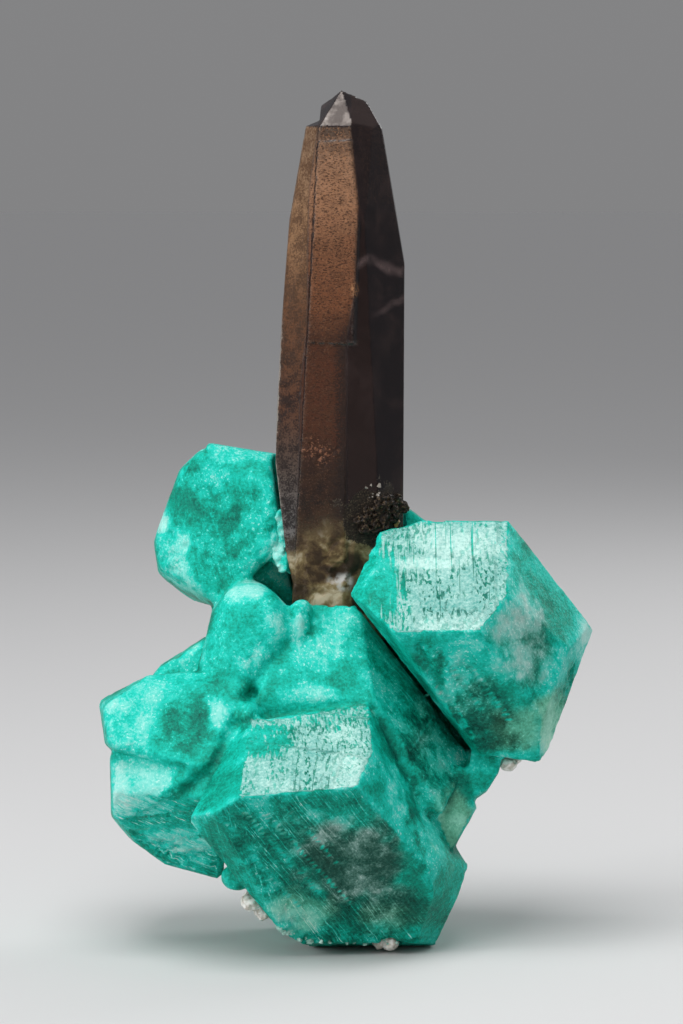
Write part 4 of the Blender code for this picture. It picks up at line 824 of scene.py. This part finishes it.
# Black-brown grains, with pale golden flecks painted in as glints.
colour = tinted(tree, plus(tree, cloud(tree, place, 0.5, 5.0, 1.2, 0.7), 0.5), [
    (0.35, (0.006, 0.004, 0.003)),
    (0.56, (0.024, 0.015, 0.009)),
    (0.68, (0.13, 0.085, 0.045)),
    (0.80, (0.30, 0.25, 0.18)),
])
tree.links.new(colour, surface.inputs["Base Color"])
crust = stone_copy("dark_crust", "crust_grains", CRUST_GRAIN)
spots = points_of(crust)
hollow = 0.5 * np.clip(rough(spots, 0.55) * 2.2, 0, 1) + 0.2 * np.clip(rough(spots, 0.3, 6.0) * 2, 0, 1)
wear(crust, spots, hollow)
crust.data.materials.append(sooty)
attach(crust, "root")
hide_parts("dark_crust")

# Loose small crystals: sugary grains on the front block's broken lower edge, a fused collar of stone
# in the gap left of the quartz's foot, silvery quartz points on the crust's upper side and a rusty
# grain beside it. Each is grown fast to what it sits on.
GRAIN_TAPER = 0.45
GRAIN_LENGTH = 1.7


def grain_cluster(name, places, sizes, sides, material):
    """One piece of small tapered crystals, each turned its own way."""
    dice = random.Random(name)
    grains = []
    for place, size in zip(places, sizes):
        turn = [dice.uniform(0, math.pi) for _ in range(3)]
        spot = [value * MM for value in place]
        bpy.ops.mesh.primitive_cone_add(
            vertices=sides,
            radius1=size * MM,
            radius2=GRAIN_TAPER * size * MM,
            depth=GRAIN_LENGTH * size * MM,
            location=spot,
            rotation=turn,
        )
        grains.append(bpy.context.object)
    bpy.ops.object.select_all(action="DESELECT")
    for grain in grains:
        grain.select_set(True)
    bpy.context.view_layer.objects.active = grains[0]
    bpy.ops.object.join()
    bpy.ops.object.transform_apply(location=True, rotation=True, scale=True)
    cluster = bpy.context.object
    cluster.name = name
    cluster.data.materials.append(material)
    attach(cluster, "root")
    return cluster


dice = random.Random(7)

# The front block's lower edge: how far right, and how far back and how high it is at each such place.
# Most of its grains are on its left end.
LOWER_EDGE = (
    [-11.6, -10.1, -8.1, -6.0, -4.3, 1.2, 5.4],
    [-15.2, -14.7, -13.8, -13.3, -13.0, -12.0, -12.0],
    [4.6, 3.6, 2.5, 2.1, 2.0, 1.8, 1.9],
)
EDGE_GRAINS = 64
LEFT_GRAINS = 50
edge_places = []
for count in range(EDGE_GRAINS):
    right = dice.uniform(-11.6, -4.6) if count < LEFT_GRAINS else dice.uniform(-4.6, 5.4)
    deep = np.interp(right, LOWER_EDGE[0], LOWER_EDGE[1]) + dice.uniform(-0.1, 0.7)
    high = np.interp(right, LOWER_EDGE[0], LOWER_EDGE[2]) + dice.uniform(-0.5, 0.4)
    edge_places.append((right, deep, high))
edge_sizes = [dice.uniform(0.16, 0.42) for _ in edge_places]
sparkly, tree, surface = shader_of("sugary_grains", Roughness=0.3, Specular_IOR_Level=0.5)
surface.inputs["Base Color"].default_value = (0.34, 0.58, 0.50, 1.0)
grain_cluster("lower_edge_grains", edge_places, edge_sizes, 5, sparkly)

COLLAR_GRAIN = 0.14
MELTING_PASSES = 16
# The collar's two strands: first and last place, how far grains stray, their size and their number.
STRANDS = [
    ((-11.5, 0.5, 60.6), (-10.8, 0.1, 55.8), 0.42, 0.42, 150),
    ((-12.6, 0.9, 56.6), (-10.5, -0.6, 52.8), 0.78, 0.52, 240),
]
collar_places = []
collar_sizes = []
for first, last, stray, size, number in STRANDS:
    for _ in range(number):
        middle = Vector(first).lerp(Vector(last), dice.random())
        collar_places.append(tuple(value + dice.uniform(-stray, stray) for value in middle))
        collar_sizes.append(size * dice.uniform(0.6, 1.1))
collar = grain_cluster("collar_grains", collar_places, collar_sizes, 6, amazonite)
bpy.context.view_layer.objects.active = collar
fused = collar.modifiers.new("Fused", "REMESH")
fused.mode = "VOXEL"
fused.voxel_size = COLLAR_GRAIN * MM
bpy.ops.object.modifier_apply(modifier=fused.name)
melted = collar.modifiers.new("Melted", "SMOOTH")
melted.factor = 0.5
melted.iterations = MELTING_PASSES
bpy.ops.object.modifier_apply(modifier=melted.name)
bpy.ops.object.shade_smooth()
spots = points_of(collar)
for name in ("frost", "streak", "rim", "grey", "olive"):
    set_mask(collar, name, np.zeros(len(spots)))
set_mask(collar, "tone", 0.70 + 0.3 * rough(spots, 1.4, 2.0))
set_mask(collar, "white", 0.5 + 0.5 * rough(spots, 1.8, 5.0))
layer = collar.data.attributes.new("lay", "FLOAT_VECTOR", "POINT")
layer.data.foreach_set("vector", (spots * MM).astype(np.float32).ravel())

# The quartz points: the middle of the spot they grow on, how far they reach from it, and their number.
CRUST_TOP = (1.7, -3.0, 63.8)
POINTS_REACH = (1.1, 0.3, 0.9)
POINTS_NUMBER = 16
point_places = []
for _ in range(POINTS_NUMBER):
    shift = [dice.uniform(-1.0, 1.0) * reach for reach in POINTS_REACH]
    point_places.append(tuple(value + apart for value, apart in zip(CRUST_TOP, shift)))
point_sizes = [dice.uniform(0.16, 0.36) for _ in point_places]
silvery, tree, surface = shader_of("silvery_points", Roughness=0.22, Specular_IOR_Level=0.6)
surface.inputs["Base Color"].default_value = (0.24, 0.215, 0.185, 1.0)
grain_cluster("quartz_points", point_places, point_sizes, 6, silvery)

rusty, tree, surface = shader_of("rusty_grain", Roughness=0.5)
surface.inputs["Base Color"].default_value = (0.34, 0.16, 0.045, 1.0)
grain_cluster("rusty_grain", [(5.1, 0.4, 59.2), (4.8, 0.1, 58.8)], [0.5, 0.36], 6, rusty)

# The studio: a plain pale floor, a pale surround, and soft lights above, at both sides and in front.
bpy.ops.object.select_all(action="DESELECT")
bpy.ops.mesh.primitive_plane_add(size=12.0, location=(0.0, 0.0, -0.0002))
floor = bpy.context.object
floor.name = "floor"
paper, _, _ = shader_of("pale_paper", Base_Color=(0.60, 0.60, 0.60, 1.0), Roughness=0.7)
floor.data.materials.append(paper)

world = bpy.data.worlds.new("surround")
bpy.context.scene.world = world
world.use_nodes = True
tree = world.node_tree
skyward = wire(tree, "SeparateXYZ", {"Vector": wire(tree, "TexCoord").outputs["Generated"]}).outputs["Z"]
shade = over(tree, band(tree, skyward, 0.0, 0.75), (0.228, 0.228, 0.232), (0.38, 0.38, 0.39))
tree.links.new(shade, tree.nodes["Background"].inputs["Color"])

# Each light: its place in metres, its size and its power.
LIGHTS = {
    "overhead": ((-0.06, -0.20, 0.60), 0.42, 2.9),
    "left_side": ((-0.78, -0.38, 0.36), 0.40, 4.2),
    "right_back": ((0.40, 0.42, 0.34), 0.30, 1.2),
    "front": ((0.12, -0.90, 0.36), 0.50, 0.5),
}
for name, (spot, size, power) in LIGHTS.items():
    lamp = bpy.data.lights.new(name, "AREA")
    lamp.size = size
    lamp.energy = power
    light = bpy.data.objects.new(name, lamp)
    light.location = spot
    light.rotation_euler = (Vector((0, 0, 0.05)) - Vector(spot)).to_track_quat("-Z", "Y").to_euler()
    bpy.context.scene.collection.objects.link(light)

# The camera: a long lens, a little above level, from the front.
camera = bpy.data.objects.new("camera", bpy.data.cameras.new("camera"))
camera.data.lens = 150
camera.data.sensor_width = 36
aim = Vector((-2.74, 0.0, 60.6)) * MM
lift = math.radians(5)
CAMERA_DISTANCE = 0.6
camera.location = aim + Vector((0, -math.cos(lift), math.sin(lift))) * CAMERA_DISTANCE
camera.rotation_euler = (math.radians(90) - lift, 0, 0)
bpy.context.scene.collection.objects.link(camera)
bpy.context.scene.camera = camera
bpy.context.scene.view_settings.view_transform = "Standard"
